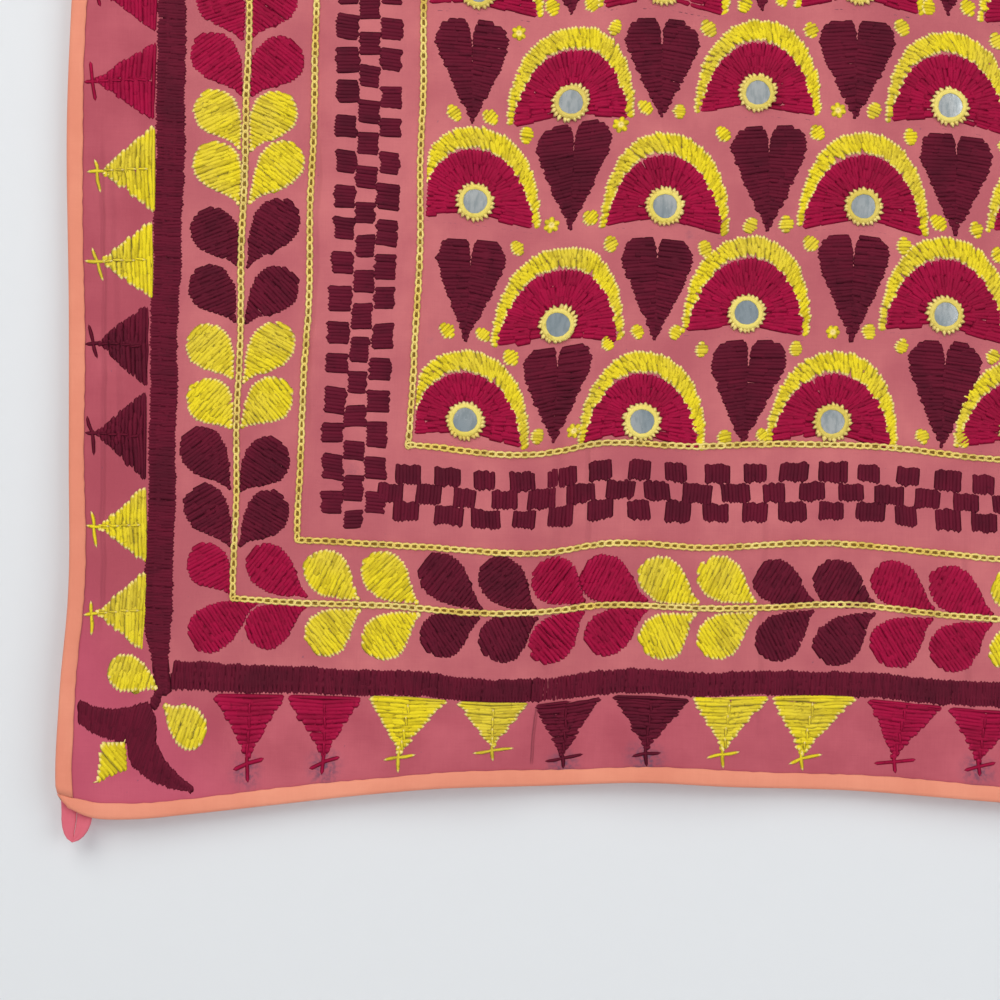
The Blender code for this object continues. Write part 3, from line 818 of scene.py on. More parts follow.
def mirrors():
    """Every mirror, laid on the cloth where its turn and lean take it."""
    disc, disc_faces = unit_mirror()
    points, faces = [], []
    for across, up in mirror_places:
        centre, right, above, outward, highest = mirror_seat(across, up)
        rise = highest + MIRROR_SEAT + MIRROR_THICKNESS / 2
        flat = disc[:, :1] * right * MIRROR_RADIUS + disc[:, 1:2] * above * MIRROR_RADIUS
        faces += [[index + len(points) * len(disc) for index in face] for face in disc_faces]
        points.append(centre + flat + (disc[:, 2:] * MIRROR_THICKNESS + rise) * outward)
    mesh = bpy.data.meshes.new("mirrors")
    mesh.from_pydata(np.concatenate(points).tolist(), [], faces)
    piece = add_piece("mirrors_all", mesh, mirror_material())
    mesh.set_sharp_from_angle(angle=math.radians(50))
    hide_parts(*["mirror_%02d" % (number + 1) for number in range(len(mirror_places))])
    return piece


mirrors_piece = mirrors()
print(len(mirror_places), "mirrors")

# %% [markdown]
# ## Stitches
#
# Everything on the face is laid thread by thread. One stitch is drawn once, with three sides, three rings
# and two pinched ends that dive into the cloth. Its points are then repeated for every row of a table:
# from, to, thread width, height, bow, lift and shade. A table is filled in on the flat cloth, in
# millimetres, and hung with the cloth. Each motif in each colour is one joined mesh.

# %% One stitch, drawn once
END_LENGTH = 1.60       # a stitch's end narrows over this many millimetres
SPREAD = 1.40           # soft floss lies flatter and wider than the thread

def unit_strand(rings):
    """The points of one stitch as (ring, side) numbers, and its faces."""
    mesh = bmesh.new()
    bmesh.ops.create_circle(mesh, segments=3, radius=1.0)
    front = mesh.edges[:]
    for _ in range(rings - 1):
        grown = bmesh.ops.extrude_edge_only(mesh, edges=front)["geom"]
        front = [item for item in grown if isinstance(item, bmesh.types.BMEdge)
                 and all(vert in grown for vert in item.verts)]
        bmesh.ops.translate(mesh, verts=[item for item in grown if isinstance(item, bmesh.types.BMVert)],
                            vec=(0, 0, 1))
    bmesh.ops.holes_fill(mesh, edges=mesh.edges[:], sides=3)
    for tip in bmesh.ops.poke(mesh, faces=[face for face in mesh.faces if len(face.verts) == 3])["verts"]:
        tip.co.z += math.copysign(1.0, tip.co.z - 0.5)
    bmesh.ops.recalc_face_normals(mesh, faces=mesh.faces[:])
    points, faces = taken(mesh)
    turns = np.arctan2(points[:, 1], points[:, 0]) + math.pi / 6
    side = np.rint(turns % (2 * math.pi) / (2 * math.pi / 3)).astype(int) % 3
    return np.rint(points[:, 2]).astype(int) + 1, side, faces


# by the number of rings: each ring's width and height, from tip to tip
RING_SHAPES = {3: ((0.0, 0.82, 1.06, 0.82, 0.0), (0.0, 0.90, 1.0, 0.90, 0.0)),
               2: ((0.0, 0.98, 0.98, 0.0), (0.0, 1.0, 1.0, 0.0))}
FLAT = 0.56             # how high a finished stitch stands, of its table height
TIP_LIFT, TIP_DIVE, PAD_LIFT = 0.15, 0.10, 0.13
STRANDS = {rings: unit_strand(rings) for rings in RING_SHAPES}
print("one stitch:", {rings: len(strand[2]) for rings, strand in STRANDS.items()}, "faces")

# %% Joining copies of a shape
FACE = 1000 * CLOTH / 2 - 0.08         # where threads meet the cloth, in millimetres off its middle
rng = np.random.default_rng(11)

def cloth_at(places):
    """How far the cloth's middle stands out at places in millimetres."""
    return 1000 * depth(places[..., 0] / 1000, places[..., 1] / 1000)


def hung(places, lift):
    """Where places in millimetres hang, so much in front of the cloth's middle."""
    return hang(places[..., 0] / 1000, places[..., 1] / 1000, lift / 1000)


def joined_mesh(name, points, faces, from_end, level, shade, run, turn):
    """Many copies of one shape as one mesh, with what the floss reads. points and shade have a row a copy.

    For each point: how near an end it is, how high it stands, the copy's shade, and its place along and
    round the thread.
    """
    shade = shade[:, None]
    strand = pair(*np.broadcast_arrays(from_end, level, shade, 1.0))
    # the shade also sets where in the noise a copy takes its fibres
    thread = pair(run + 97 * shade, turn + 31 * shade)
    copies, size = points.shape[:2]
    index = np.concatenate([np.array(face) for face in faces])
    sides = np.array([len(face) for face in faces])
    mesh = bpy.data.meshes.new(name)
    mesh.vertices.add(copies * size)
    mesh.vertices.foreach_set("co", points.astype(np.float32).ravel())
    corners = (index[None] + np.arange(copies)[:, None] * size).ravel()
    mesh.loops.add(len(corners))
    mesh.loops.foreach_set("vertex_index", corners.astype(np.int32))
    starts = np.concatenate([[0], np.cumsum(np.tile(sides, copies))[:-1]])
    mesh.polygons.add(len(starts))
    mesh.polygons.foreach_set("loop_start", starts.astype(np.int32))
    mesh.update(calc_edges=True)
    said = mesh.attributes.new("strand", "FLOAT_COLOR", "POINT")
    said.data.foreach_set("color", strand.astype(np.float32).ravel())
    layer = mesh.uv_layers.new(name="thread")
    layer.data.foreach_set("uv", thread.reshape(-1, 2)[corners].astype(np.float32).ravel())
    return mesh


# %% Stitch tables
def laid(start, end, width, height, bow=0.0, lift=0.0):
    """Rows of the stitch table: from, to, width, height, bow, lift, shade."""
    start, end = np.atleast_2d(start).astype(float), np.atleast_2d(end).astype(float)
    count = max(len(start), len(end))
    ends = [np.broadcast_to(part, (count, 2)) for part in (start, end)]
    rest = [np.broadcast_to(part, (count,)) for part in (width, height, bow, lift)]
    return np.column_stack([*ends, *rest, rng.random(count)])


def jitter(count, reach):
    """Small uneven amounts, as a hand makes them."""
    return rng.uniform(-reach, reach, count)


def nudge(reach):
    """One small uneven amount."""
    return jitter(1, reach)[0]


def aside_of(ahead):
    """The direction to the left of another."""
    return pair(-ahead[..., 1], ahead[..., 0])


def walked(line):
    """How far along a line each of its points is."""
    return np.concatenate([[0], np.cumsum(np.hypot(*np.diff(line, axis=0).T))])


def at_marks(marks, walk, line):
    """The places on a line that lie so far along it."""
    return pair(*[np.interp(marks, walk, part) for part in np.array(line).T])


def satin(begin, finish, thin, thick, bow, lift):
    """Rows for stitches of uneven width, bow and lift."""
    count = len(begin)
    return laid(begin, finish, rng.uniform(thin, thick, count), 0.5, jitter(count, bow),
                rng.uniform(0, lift, count))


def moved(table, across, up):
    """A stitch table moved over the cloth."""
    table[:, :4] += (across, up, across, up)
    return table


def inner_stitches(table):
    """Mark stitches that start inside a motif, whose ends get no painted highlight. Marked twice, they are
    padding.
    """
    table = table.copy()
    table[:, 8] += 1
    return table


# %% From tables to hung pieces
def stitched(name, tables, paint, rings=3, face=None):
    """Turn stitch tables into one hung piece. face is how far off the cloth's middle its threads lie."""
    ring, side, faces = STRANDS[rings]
    widths, heights = (np.array(shape) for shape in RING_SHAPES[rings])
    tips = (ring == 0) | (ring == rings + 1)
    edge = np.where(tips, 0.0, np.array((1.0, 0.0, -1.0))[side]) * widths[ring]
    rise = np.where(tips, 0.15, np.array((0.0, 1.0, 0.0))[side] * heights[ring])
    rows = np.concatenate(tables)
    start, end = rows[:, 0:2], rows[:, 2:4]
    width, height, bow, lift, shade = rows[:, 4:].T
    inner, padding, shade = shade[:, None] >= 1, shade[:, None] >= 2, shade % 1
    run = end - start
    length = np.hypot(*run.T)
    ahead = run / length[:, None]
    aside = aside_of(ahead)
    pinch = np.clip(END_LENGTH / length, 0.06, 0.3)
    stops = [0 * length, pinch] + [0 * length + 0.5] * (rings - 2) + [1 - 0.5 * pinch, 0 * length + 1.0]
    place = np.stack(stops, axis=-1)[:, ring]
    arch = 4 * place * (1 - place)
    middle = start[:, None] + run[:, None] * place[..., None]
    middle = middle + aside[:, None] * (bow[:, None] * arch)[..., None]
    flat = middle + aside[:, None] * (edge * width[:, None] * SPREAD / 2)[..., None]
    risen = lift[:, None] * (arch + TIP_LIFT * tips) + rise * FLAT * height[:, None]
    risen = risen - TIP_DIVE * tips + PAD_LIFT * padding
    # a stitch is pulled straight and doesn't twist: over a ridge it rides on the crest, and padding lies
    # down in a trough
    share = np.linspace(0, 1, 9)
    cloth = cloth_at(start[:, None] + run[:, None] * share[:, None])
    off = cloth - cloth[:, :1] * (1 - share) - cloth[:, -1:] * share
    crest, dip = off.max(axis=1)[:, None], off.min(axis=1)[:, None]
    under, beside, beyond = cloth_at(middle), cloth_at(flat), cloth_at(2 * middle - flat)
    way = np.sign(edge)
    tilt = ((beside - under) * way).sum(axis=1, keepdims=True) / np.abs(way).sum()
    sunk = np.minimum(0, under - (beside + beyond) / 2)
    riding = np.where(padding, dip + sunk, 0.8 * crest) + tilt * way - (beside - under)
    risen = FACE + risen + riding if face is None else face - risen + dip
    points = hung(flat, risen)
    # from_end gives the floss's painted highlight at a stitch's ends, level its painted shade low on the
    # sides; padding gets none
    from_end = np.minimum(place * length[:, None] + 3 * inner, 2.6 + (1 - place) * length[:, None]) / 5
    level = np.maximum(np.where(tips, 0.6, rise), 0.5 * padding)
    shape = faces if face is None else [corners[::-1] for corners in faces]
    mesh = joined_mesh(name, points, shape, np.minimum(from_end, 1), level, shade,
                       place * length[:, None], side / 3)
    piece = add_piece(name.replace(" ", "_"), mesh, paint)
    print(f"{name}: {len(rows)} stitches, {len(rows) * 6 * rings} triangles")
    return piece


def in_colours(motif, tables, rings, face=None):
    """One piece of a motif for each colour, with stitches of so many rings in yellow, plum and crimson."""
    dyed = zip(("yellow", "plum", "crimson"), (YELLOW, PLUM, CRIMSON), rings)
    return [stitched(f"{name} {motif}", tables[name[0]], paint, number, face)
            for name, paint, number in dyed]


# %% [markdown]
# ## The side layout
#
# The border turns round the cloth: it runs down the left side, right along the bottom, up the right side
# and left along the top. A place on it is (s, d): s runs along a side in that direction, d is the
# distance in from that side's cut edge.

# %% Side layout
ACROSS_MM, UP_MM = 1000 * WIDTH, 1000 * HEIGHT
SIDES = ("left", "bottom", "right", "top")
# distance from the cut edge to the middle of the: band, stem, outer chain, inner chain
SIDE_LINES = {"side": (46.2, 84.5, 117.5, 171.8), "end": (52.4, 91.0, 121.5, 171.5)}
BAND_WIDTH = 14.0

def lines_of(side):
    """The distances of one side, those of the sides beside it, and its length."""
    upright = side in ("left", "right")
    return SIDE_LINES["side" if upright else "end"], SIDE_LINES["end" if upright else "side"], (
        UP_MM if upright else ACROSS_MM)


def side_place(side, places):
    """From (s, d) on a side to (across, up) on the cloth."""
    s, d = np.moveaxis(np.asarray(places, float), -1, 0)
    return pair(*{"left": (d, UP_MM - s), "bottom": (s, d),
                  "right": (ACROSS_MM - d, s), "top": (ACROSS_MM - s, UP_MM - d)}[side])


def on_side(side, table):
    """Move a stitch table from a side's (s, d) to the cloth."""
    turned = table.copy()
    turned[:, 0:2], turned[:, 2:4] = side_place(side, table[:, 0:2]), side_place(side, table[:, 2:4])
    return turned


print("the sides are", [round(lines_of(side)[2]) for side in SIDES], "mm long")


# %% [markdown]
# ## The plum band
#
# A band of long and short satin stitch: one stitch comes in from each edge and they mesh in the middle.

# %% Padding
def padding_under(points, width):
    """Low broad stitches along a line, so that no cloth shows between the stitches over them."""
    points = np.array(points, float)
    table = laid(points[:-1], points[1:] + 0.15 * (points[1:] - points[:-1]), width, 0.2)
    return inner_stitches(inner_stitches(table))


# %% Plum band
# the left band was drawn with a lean: down the side, its outer edge lies further in by, its inner edge by
LEFT_BAND_LEAN = [
    (200, 0.0, 0.0), (430, 2.0, 3.3), (604, -0.9, 0.5), (660, -2.0, 0.1), (695, -2.0, 0.0), (729, 0.0, 0.0),
]

BAND_PITCH, BAND_STEP = 1.55, 0.7      # from one stitch to the next on an edge, and from edge to edge
NARROWED, NARROWING = 8.5, 34          # the band narrows by so much over its last millimetres

def band_lean(side, s, edge):
    """How much further in the band lies. edge is 1 for its outer edge and 2 for its inner edge."""
    rows = np.array(LEFT_BAND_LEAN)
    return np.interp(s, rows[:, 0], rows[:, edge]) if side == "left" else 0 * s


def band(side):
    """One side's band, from beside the last side's band to the outer edge of the next."""
    (middle, *_), (other, *_), length = lines_of(side)
    start, end = other + BAND_WIDTH / 2 + 1.9, length - other + BAND_WIDTH / 2
    s = np.arange(start, end, BAND_PITCH)
    count = len(s)
    s = s + jitter(count, 0.25)
    wobble = 0.5 * np.sin(s / 23) + 0.35 * np.sin(s / 9.1 + 1)
    drawn_in = NARROWED * np.clip((s - end + NARROWING) / NARROWING, 0, 1) ** 1.1
    outer = middle - BAND_WIDTH / 2 + wobble + drawn_in + band_lean(side, s, 1)
    inner = middle + BAND_WIDTH / 2 + wobble + band_lean(side, s, 2)
    mid = (outer + inner) / 2
    slant = jitter(count, 0.8)
    tables = []
    for way, edge, at in ((1, outer, s), (-1, inner, s + BAND_STEP)):
        tables.append(laid(pair(at, edge + jitter(count, 0.4)),
                           pair(at + slant, mid + way * 2.6 + jitter(count, 1.9)),
                           rng.uniform(1.75, 2.25, count), 0.50, jitter(count, 0.25),
                           0.0 if way > 0 else rng.uniform(0, 0.15, count)))
    pads = pair(s, mid)[::5]
    tables += [padding_under(pads + (0, shift), 3.4) for shift in (-2.0, 2.0)]
    return on_side(side, np.concatenate(tables))


bands = [band(side) for side in SIDES]
stitch_pieces = [stitched("plum band", bands, PLUM, 2)]

# %% [markdown]
# ## The vine of leaves
#
# Each leaf is a drop: a round end and a drawn-out tip that touches the stem. It is filled by fishbone
# stitch, from both outlines past the midline, each stitch slanted towards the round end.

# %% One leaf
FILL_PITCH = 1.85      # how far apart the stitches of a filling lie
LONGEST = 8.5          # a longer stitch is often broken into two

def broken(begin, finish, width, bow, lift):
    """Rows for stitches, the long ones often broken into two that overlap a little."""
    run = finish - begin
    length = np.hypot(*run.T)
    split = (length > LONGEST) & (rng.random(len(length)) < 0.6)
    part = rng.uniform(0.36, 0.64, len(length))
    lap = 1.1 / length
    stop = np.where(split, part + lap, 1.0)
    first = laid(begin, begin + run * stop[:, None], width, 0.5, bow * stop ** 2, lift)
    again = (begin + run * (part - lap)[:, None])[split]
    second = laid(again, finish[split], width[split], 0.5, bow[split] * 0.3, lift[split] + 0.1)
    return np.concatenate([first, inner_stitches(second)])


def chords(outline, turn):
    """Where parallel lines across an outline begin and end. turn is the lines' slant, in radians."""
    outline = np.array(outline, float)
    level = outline[:, 0] * math.cos(turn) + outline[:, 1] * math.sin(turn)
    top = int(level.argmax())
    marks = np.arange(level.min() + 0.8, level[top] - 0.45, FILL_PITCH)
    marks = marks + jitter(len(marks), 0.2)
    ends = []
    for part in (slice(0, top + 1), slice(None, top - 1, -1)):
        rising = np.maximum.accumulate(level[part]) + 1e-7 * np.arange(len(level[part]))
        ends.append(at_marks(marks, rising, outline[part]))
    return ends


def filled(ends):
    """Stitches from both ends of each line to past its middle, ragged at the outline."""
    first, second = ends
    across = second - first
    length = np.hypot(*across.T)
    first, second, across, length = (part[length > 1.2] for part in (first, second, across, length))
    ahead = across / length[:, None]
    count = len(length)
    meet = rng.uniform(0.30, 0.70, count)
    short = length < 5.0
    tables = []
    for way, start, far in ((1.0, first, meet), (-1.0, second, 1 - meet)):
        begin = start - way * ahead * rng.uniform(-0.1, 0.65, count)[:, None]
        reach = np.where(short, length, np.minimum(length * far + 1.6, length))
        finish = start + way * ahead * reach[:, None] + aside_of(ahead) * jitter(count, 0.6)[:, None]
        bow = jitter(count, 0.5) * np.minimum(1, reach / 8)
        tables.append(broken(begin, finish, rng.uniform(1.8, 2.4, count), bow,
                             rng.uniform(0.0, 0.22, count)))
    return np.concatenate(tables)


def leaf(tip, centre, radius, away=1.0):
    """A drop shaped leaf. away is the side that is hollowed towards the tip, seen from the tip."""
    tip, centre = np.array(tip, float), np.array(centre, float)
    neck = np.hypot(*(centre - tip))
    ahead = (centre - tip) / neck
    s = np.linspace(0.0, neck + radius, 300)
    end = radius * np.sqrt(np.clip(1 - ((s - neck) / radius) ** 2, 0, 1))
    half = {way: np.where(s < neck, radius * np.sin(np.pi / 2 * np.clip(s / neck, 0, 1)) ** power, end)
            for way, power in ((away, 1.9), (-away, 1.05))}
    outline = np.concatenate([pair(s, half[1.0]), pair(s, -half[-1.0])[::-1]])
    ends = chords(outline, nudge(0.22))
    table = np.concatenate([padding_under(pair(s[90::60], shift * half[1.0][90::60]), 4.5)
                            for shift in (-0.45, 0.0, 0.45)] + [filled(ends)])
    for at in (slice(0, 2), slice(2, 4)):
        table[:, at] = tip + table[:, at][:, :1] * ahead + table[:, at][:, 1:] * aside_of(ahead)
    return table


# %% The whole vine
LEAF_RADIUS = 11.8
LEAF_BACK = 20.5       # a leaf's round end lies so far before its tip
PAIR_COUNT = 20
# the lowest part of the vine as it was drawn: the pair's tip along the side, then the middle of the
# inner leaf (s, d) and of the outer leaf (s, d)
DRAWN_PAIRS = {
    "bottom": [
        (123.5, (102.5, 107.2), (101.8, 77.2)), (149.6, (132.4, 105.9), (132.1, 75.4)),
        (179.6, (161.0, 106.5), (161.2, 75.5)), (210.6, (190.0, 107.7), (190.2, 78.7)),
        (238.6, (219.5, 108.3), (220.2, 78.8)), (262.6, (246.0, 106.7), (245.2, 77.0)),
        (293.0, (270.4, 103.9), (272.1, 76.3)), (318.6, (299.5, 104.3), (299.6, 75.3)),
        (348.6, (328.5, 105.9), (328.1, 76.4)), (377.0, (356.0, 103.7), (358.1, 75.1)),
        (407.1, (387.5, 102.3), (386.6, 72.3)), (436.1, (416.0, 103.7), (415.1, 73.6)),
        (466.2, (444.5, 104.2), (444.7, 74.7)),
    ],
    "left": [
        (488.4, (464.7, 102.3), (466.8, 71.2)), (518.4, (494.3, 100.7), (499.8, 70.2)),
        (546.9, (527.8, 101.3), (528.3, 69.2)), (576.5, (555.8, 101.3), (557.8, 69.0)),
        (600.5, (583.3, 101.3), (585.3, 70.5)), (630.5, (613.8, 100.8), (609.9, 67.4)),
        (658.5, (639.8, 101.7), (638.3, 69.1)),
    ],
    "right": [], "top": [],
}
# c crimson, y yellow, p plum
PAIR_COLOURS = dict.fromkeys(SIDES, "cyyppccyyppccyyppyyp") | {"left": "cyyppccyypccyyppyypp"}

def vine_pairs(side, length, stem, other_stem):
    """The pairs of leaves along one side: the drawn ones, and the others evenly between."""
    drawn = DRAWN_PAIRS[side]
    first, last = other_stem + 39.0, length - other_stem - 24.0
    count = PAIR_COUNT - len(drawn)
    if side == "left":
        tips = np.linspace(first, drawn[0][0], count + 1)[:-1]
    elif side == "bottom":
        tips = np.linspace(drawn[-1][0], last, count + 1)[1:]
    else:
        tips = np.linspace(first, last, count)
    made = [(tip, (tip - LEAF_BACK + nudge(1.4), stem + 14.4 + nudge(1.2)),
             (tip - LEAF_BACK + nudge(1.4), stem - 14.6 + nudge(1.2))) for tip in tips + jitter(count, 1.2)]
    return made + drawn if side == "left" else drawn + made


def vine_leaves():
    """Stitch tables of the leaves, kept apart by colour."""
    tables = {"c": [], "y": [], "p": []}
    for side in SIDES:
        (_, stem, *_), (_, other_stem, *_), length = lines_of(side)
        lone_tip, last_tip = other_stem + 14.5, length - other_stem - 0.5
        shown = [("c", (lone_tip, stem - 1.4), (lone_tip - 26.2, stem - 15.8), -1.0)]
        shown.append(("c", (last_tip, stem - 1.2), (last_tip - 15.7, stem - 14.1), -1.0))
        for (tip, inner, outer), tone in zip(vine_pairs(side, length, stem, other_stem), PAIR_COLOURS[side]):
            shown.append((tone, (tip + nudge(1.0), stem + 2.2), inner, 1.0))
            shown.append((tone, (tip + nudge(1.0), stem - 2.2), outer, -1.0))
        for tone, at, centre, way in shown:
            radius = LEAF_RADIUS + nudge(0.6)
            tables[tone].append(on_side(side, leaf(at, centre, radius, away=-way)))
    return tables


vine = vine_leaves()
stitch_pieces += in_colours("leaves", vine, (3, 2, 2))

# %% [markdown]
# ## The triangles
#
# Rows of triangles stand on the band and point at the binding. Each is filled by stitches parallel to its
# base in two halves, then held by long stitches down its middle. A tail and two barbs finish the point.

# %% One triangle
TRIANGLE_THREAD = 2.1

def triangle(low, high, base, apex, tail, barbs):
    """low and high are the base's ends along the side, base its distance, apex and the rest are places."""
    apex = np.array(apex, float)
    centre, depth_in = (low + high) / 2, base - apex[1]
    d = np.arange(base - 0.4, apex[1] + 0.8, -TRIANGLE_THREAD * 0.88)
    count = len(d)
    d = d + jitter(count, 0.2)
    share = (base - d) / depth_in
    left, right = low + (apex[0] - low) * share, high + (apex[0] - high) * share
    middle = centre + (apex[0] - centre) * share + jitter(count, 0.8)
    sag = 0.9 * (1 - share)
    tables = [laid([low, base + 0.7], [high, base + 0.7], TRIANGLE_THREAD * 0.62, 0.5)]
    for way, start in ((1.0, left), (-1.0, right)):
        begin = pair(start - way * rng.uniform(-0.3, 1.3, count), d + 0.2 + jitter(count, 0.4))
        finish = pair(middle + jitter(count, 1.6) + way * 1.2, d - sag + jitter(count, 0.6))
        tables.append(broken(begin, finish, rng.uniform(0.88, 1.15, count) * TRIANGLE_THREAD,
                             jitter(count, 0.5), rng.uniform(0, 0.2, count)))
    pads = [((centre, base - 1.0), (0, depth_in * 0.40), 2.4), ((centre, base - 8.0), (0, 4.5), 1.1)]
    pads += [((centre + span / 4.6, base - 1.0), (span * 0.11, depth_in * 0.60), 1.7)
             for span in (low - high, high - low)]
    tables += [padding_under([foot, apex + shift], broad * TRIANGLE_THREAD) for foot, shift, broad in pads]
    steps = np.array([0.06, 0.27, 0.50, 0.71])
    line = pair(centre + (apex[0] - centre) * steps, base - depth_in * steps)
    reach = np.array([0.0, -depth_in * 0.23])
    tables.append(laid(line, line + reach + pair(jitter(4, 0.7), jitter(4, 0.5)), 1.0, 0.5, 0.0, 0.6))
    tables.append(laid(tail, apex + (0, 2.0), 1.4, 0.8, jitter(1, 0.4), 0.2))
    cross = apex + (nudge(0.8), -1.3 + nudge(0.5))
    tables.append(laid(barbs, cross + 0.12 * (cross - np.array(barbs)), 1.3, 0.8, jitter(2, 0.6), 0.3))
    return np.concatenate(tables)


# %% Rows of triangles
# from, to, apex along the side, apex from the cut edge
BOTTOM_TRIANGLES = [
    (76.0, 111.2, 92.6, 19.3), (112.2, 149.7, 130.8, 17.9), (153.7, 192.3, 168.3, 16.9),
    (197.8, 232.8, 214.7, 19.7), (235.3, 268.7, 249.7, 13.8), (275.2, 312.7, 291.2, 15.3),
    (314.2, 352.7, 329.7, 17.0), (354.2, 396.2, 369.2, 15.0), (402.7, 438.8, 415.2, 16.4),
    (442.8, 478.8, 456.8, 17.6),
]
LEFT_TRIANGLES = [
    (447.6, 490.6, 470.6, 15.6), (495.1, 534.1, 515.6, 14.9), (537.1, 578.1, 556.1, 12.5),
    (580.6, 624.6, 601.1, 12.0), (627.6, 666.0, 648.1, 12.4), (669.5, 709.6, 691.1, 12.4),
]
TRIANGLE_COLOURS = dict.fromkeys(SIDES, "ccyyppyyccyyppyy") | {"left": "cyyppyyccyyppyy"}

def triangle_row(side, length, base):
    """The triangles of one side as (from, to, apex along, apex distance)."""
    if side in ("left", "bottom"):
        more = 469.1 - 44.1 * np.arange(9, 0, -1) if side == "left" else np.linspace(497.9, 683.4, 6)
        half, shift, high, loose = (19.5, 0, 26, 2) if side == "left" else (17.6, -2, 28, 1.5)
    else:
        last, count, half = (72.0, 15, 18.6) if side == "right" else (93.6, 16, 17.4)
        more = np.linspace(84.0, length - last, count)
        shift, high, loose = 0, 27, 2
    made = [(s - half, s + half, s + shift + nudge(loose), base - high + nudge(loose)) for s in more]
    return {"left": made + LEFT_TRIANGLES, "bottom": BOTTOM_TRIANGLES + made}.get(side, made)


def triangles():
    """Stitch tables of every triangle, kept apart by colour."""
    tables = {"c": [], "y": [], "p": []}
    for side in SIDES:
        (middle, *_), _, length = lines_of(side)
        base = middle - BAND_WIDTH / 2 - 0.4
        for (low, high, *apex), tone in zip(triangle_row(side, length, base), TRIANGLE_COLOURS[side]):
            tail = (apex[0] - nudge(1.2), max(apex[1] - 8.0 + nudge(1.5), 6.8))
            reach, drop = (8.2, 9.5) + jitter(2, 2.0), (-3.2, 0.6) + jitter(2, 1.3)
            barbs = [(apex[0] + far, max(apex[1] + rise, 8.0)) for far, rise in zip(reach * (-1, 1), drop)]
            row_base = base - {"c": 1.2, "y": 0.0, "p": 1.5}[tone] + nudge(0.4)
            row_base += band_lean(side, (low + high) / 2, 1)
            tables[tone].append(on_side(side, triangle(low, high, row_base, apex, tail, barbs)))
    return tables


points_out = triangles()
stitch_pieces += in_colours("triangles", points_out, (3, 3, 2))

# %% [markdown]
# ## The checkered border
#
# Three rows of plum squares, the middle row half a step along. The stitches run across the border, so the
# squares are ragged on two sides and leaning on the other two.

# %% Checkers
CHECK_STEP = {"side": 17.2, "end": 19.4}
CHECK_ROWS = {"side": [(128.3, 139.0), (139.3, 149.5), (149.9, 160.6)],
              "end": [(133.4, 143.0), (143.3, 152.5), (152.9, 162.3)]}
CHECK_PITCH, CHECK_HALF = 1.7, 0.285   # between stitches, and a square's half width as a share of a step

def checkers(side):
    """One side's squares, from one corner of the border to the next."""
    kind, other = ("side", "end") if side in ("left", "right") else ("end", "side")
    first, last, length = CHECK_ROWS[other][0][0], CHECK_ROWS[other][2][1], lines_of(side)[2]
    start, end = (first + 1.0, length - first + 5.0) if kind == "side" else (last - 2.5, length - last + 2.5)
    steps = max(2, round((end - start) / CHECK_STEP[kind]))
    pitch = (end - start) / steps
    tables = []
    for row, (near, far) in enumerate(CHECK_ROWS[kind]):
        for step in range(steps):
            halved = (row == 1) == (kind == "end")
            middle = start + pitch * (step + (0.25 if halved else 0.75)) + nudge(0.9)
            half = pitch * CHECK_HALF + nudge(0.8)
            lean = nudge(1.2)
            s = np.arange(-half, half + 0.1, CHECK_PITCH)
            count = len(s)
            low, high = near + nudge(0.5), far + nudge(0.5)
            begin, finish = (
                pair(middle + s + way * lean / 2 + jitter(count, 0.2), edge + way * 0.6 + jitter(count, 0.7))
                for way, edge in ((-1, low), (1, high)))
            tables.append(satin(begin, finish, 1.9, 2.4, 0.3, 0.15))
    return on_side(side, np.concatenate(tables))


stitch_pieces.append(stitched("plum checkers", [checkers(side) for side in SIDES], PLUM, 2))

# %% [markdown]
# ## Chain stitch
#
# Three lines of chain stitch run round the cloth: the vine's stem and one line on each side of the
# checkers. One link is a loop of thread, made by turning a three sided section round a circle. Its points
# are then laid along the line, each link a little into the next, over a low stitch coloured as painted
# shade, which shows as the dark hole in each link.

# %% One link
LINK_STEPS = 9

def unit_ring(sides, steps):
    """A thread round a circle: each point's turn, how far outside the circle and above it, and the faces."""
    mesh = bmesh.new()
    bmesh.ops.create_circle(mesh, segments=sides, radius=0.3)
    bmesh.ops.rotate(mesh, verts=mesh.verts[:], matrix=Matrix.Rotation(math.pi / 2, 3, "X"))
    bmesh.ops.translate(mesh, verts=mesh.verts[:], vec=(1.0, 0.0, 0.0))
    bmesh.ops.spin(mesh, geom=mesh.verts[:] + mesh.edges[:], cent=(0, 0, 0), axis=(0, 0, 1),
                   angle=2 * math.pi, steps=steps, use_merge=True)
    bmesh.ops.recalc_face_normals(mesh, faces=mesh.faces[:])
    points, faces = taken(mesh)
    x, y, z = points.T
    return np.arctan2(y, x), np.hypot(x, y) - 1.0, z, faces


LINK_TURNS, link_out, link_high, LINK_FACES = unit_ring(3, LINK_STEPS)
LINK_OUT, LINK_RISE = np.sign(np.round(link_out, 3)), (link_high > 0.1).astype(float)
LINK_PITCH, LINK_WIDTH, LINK_THREAD, LINK_HEIGHT = 4.05, 4.2, 1.4, 0.80

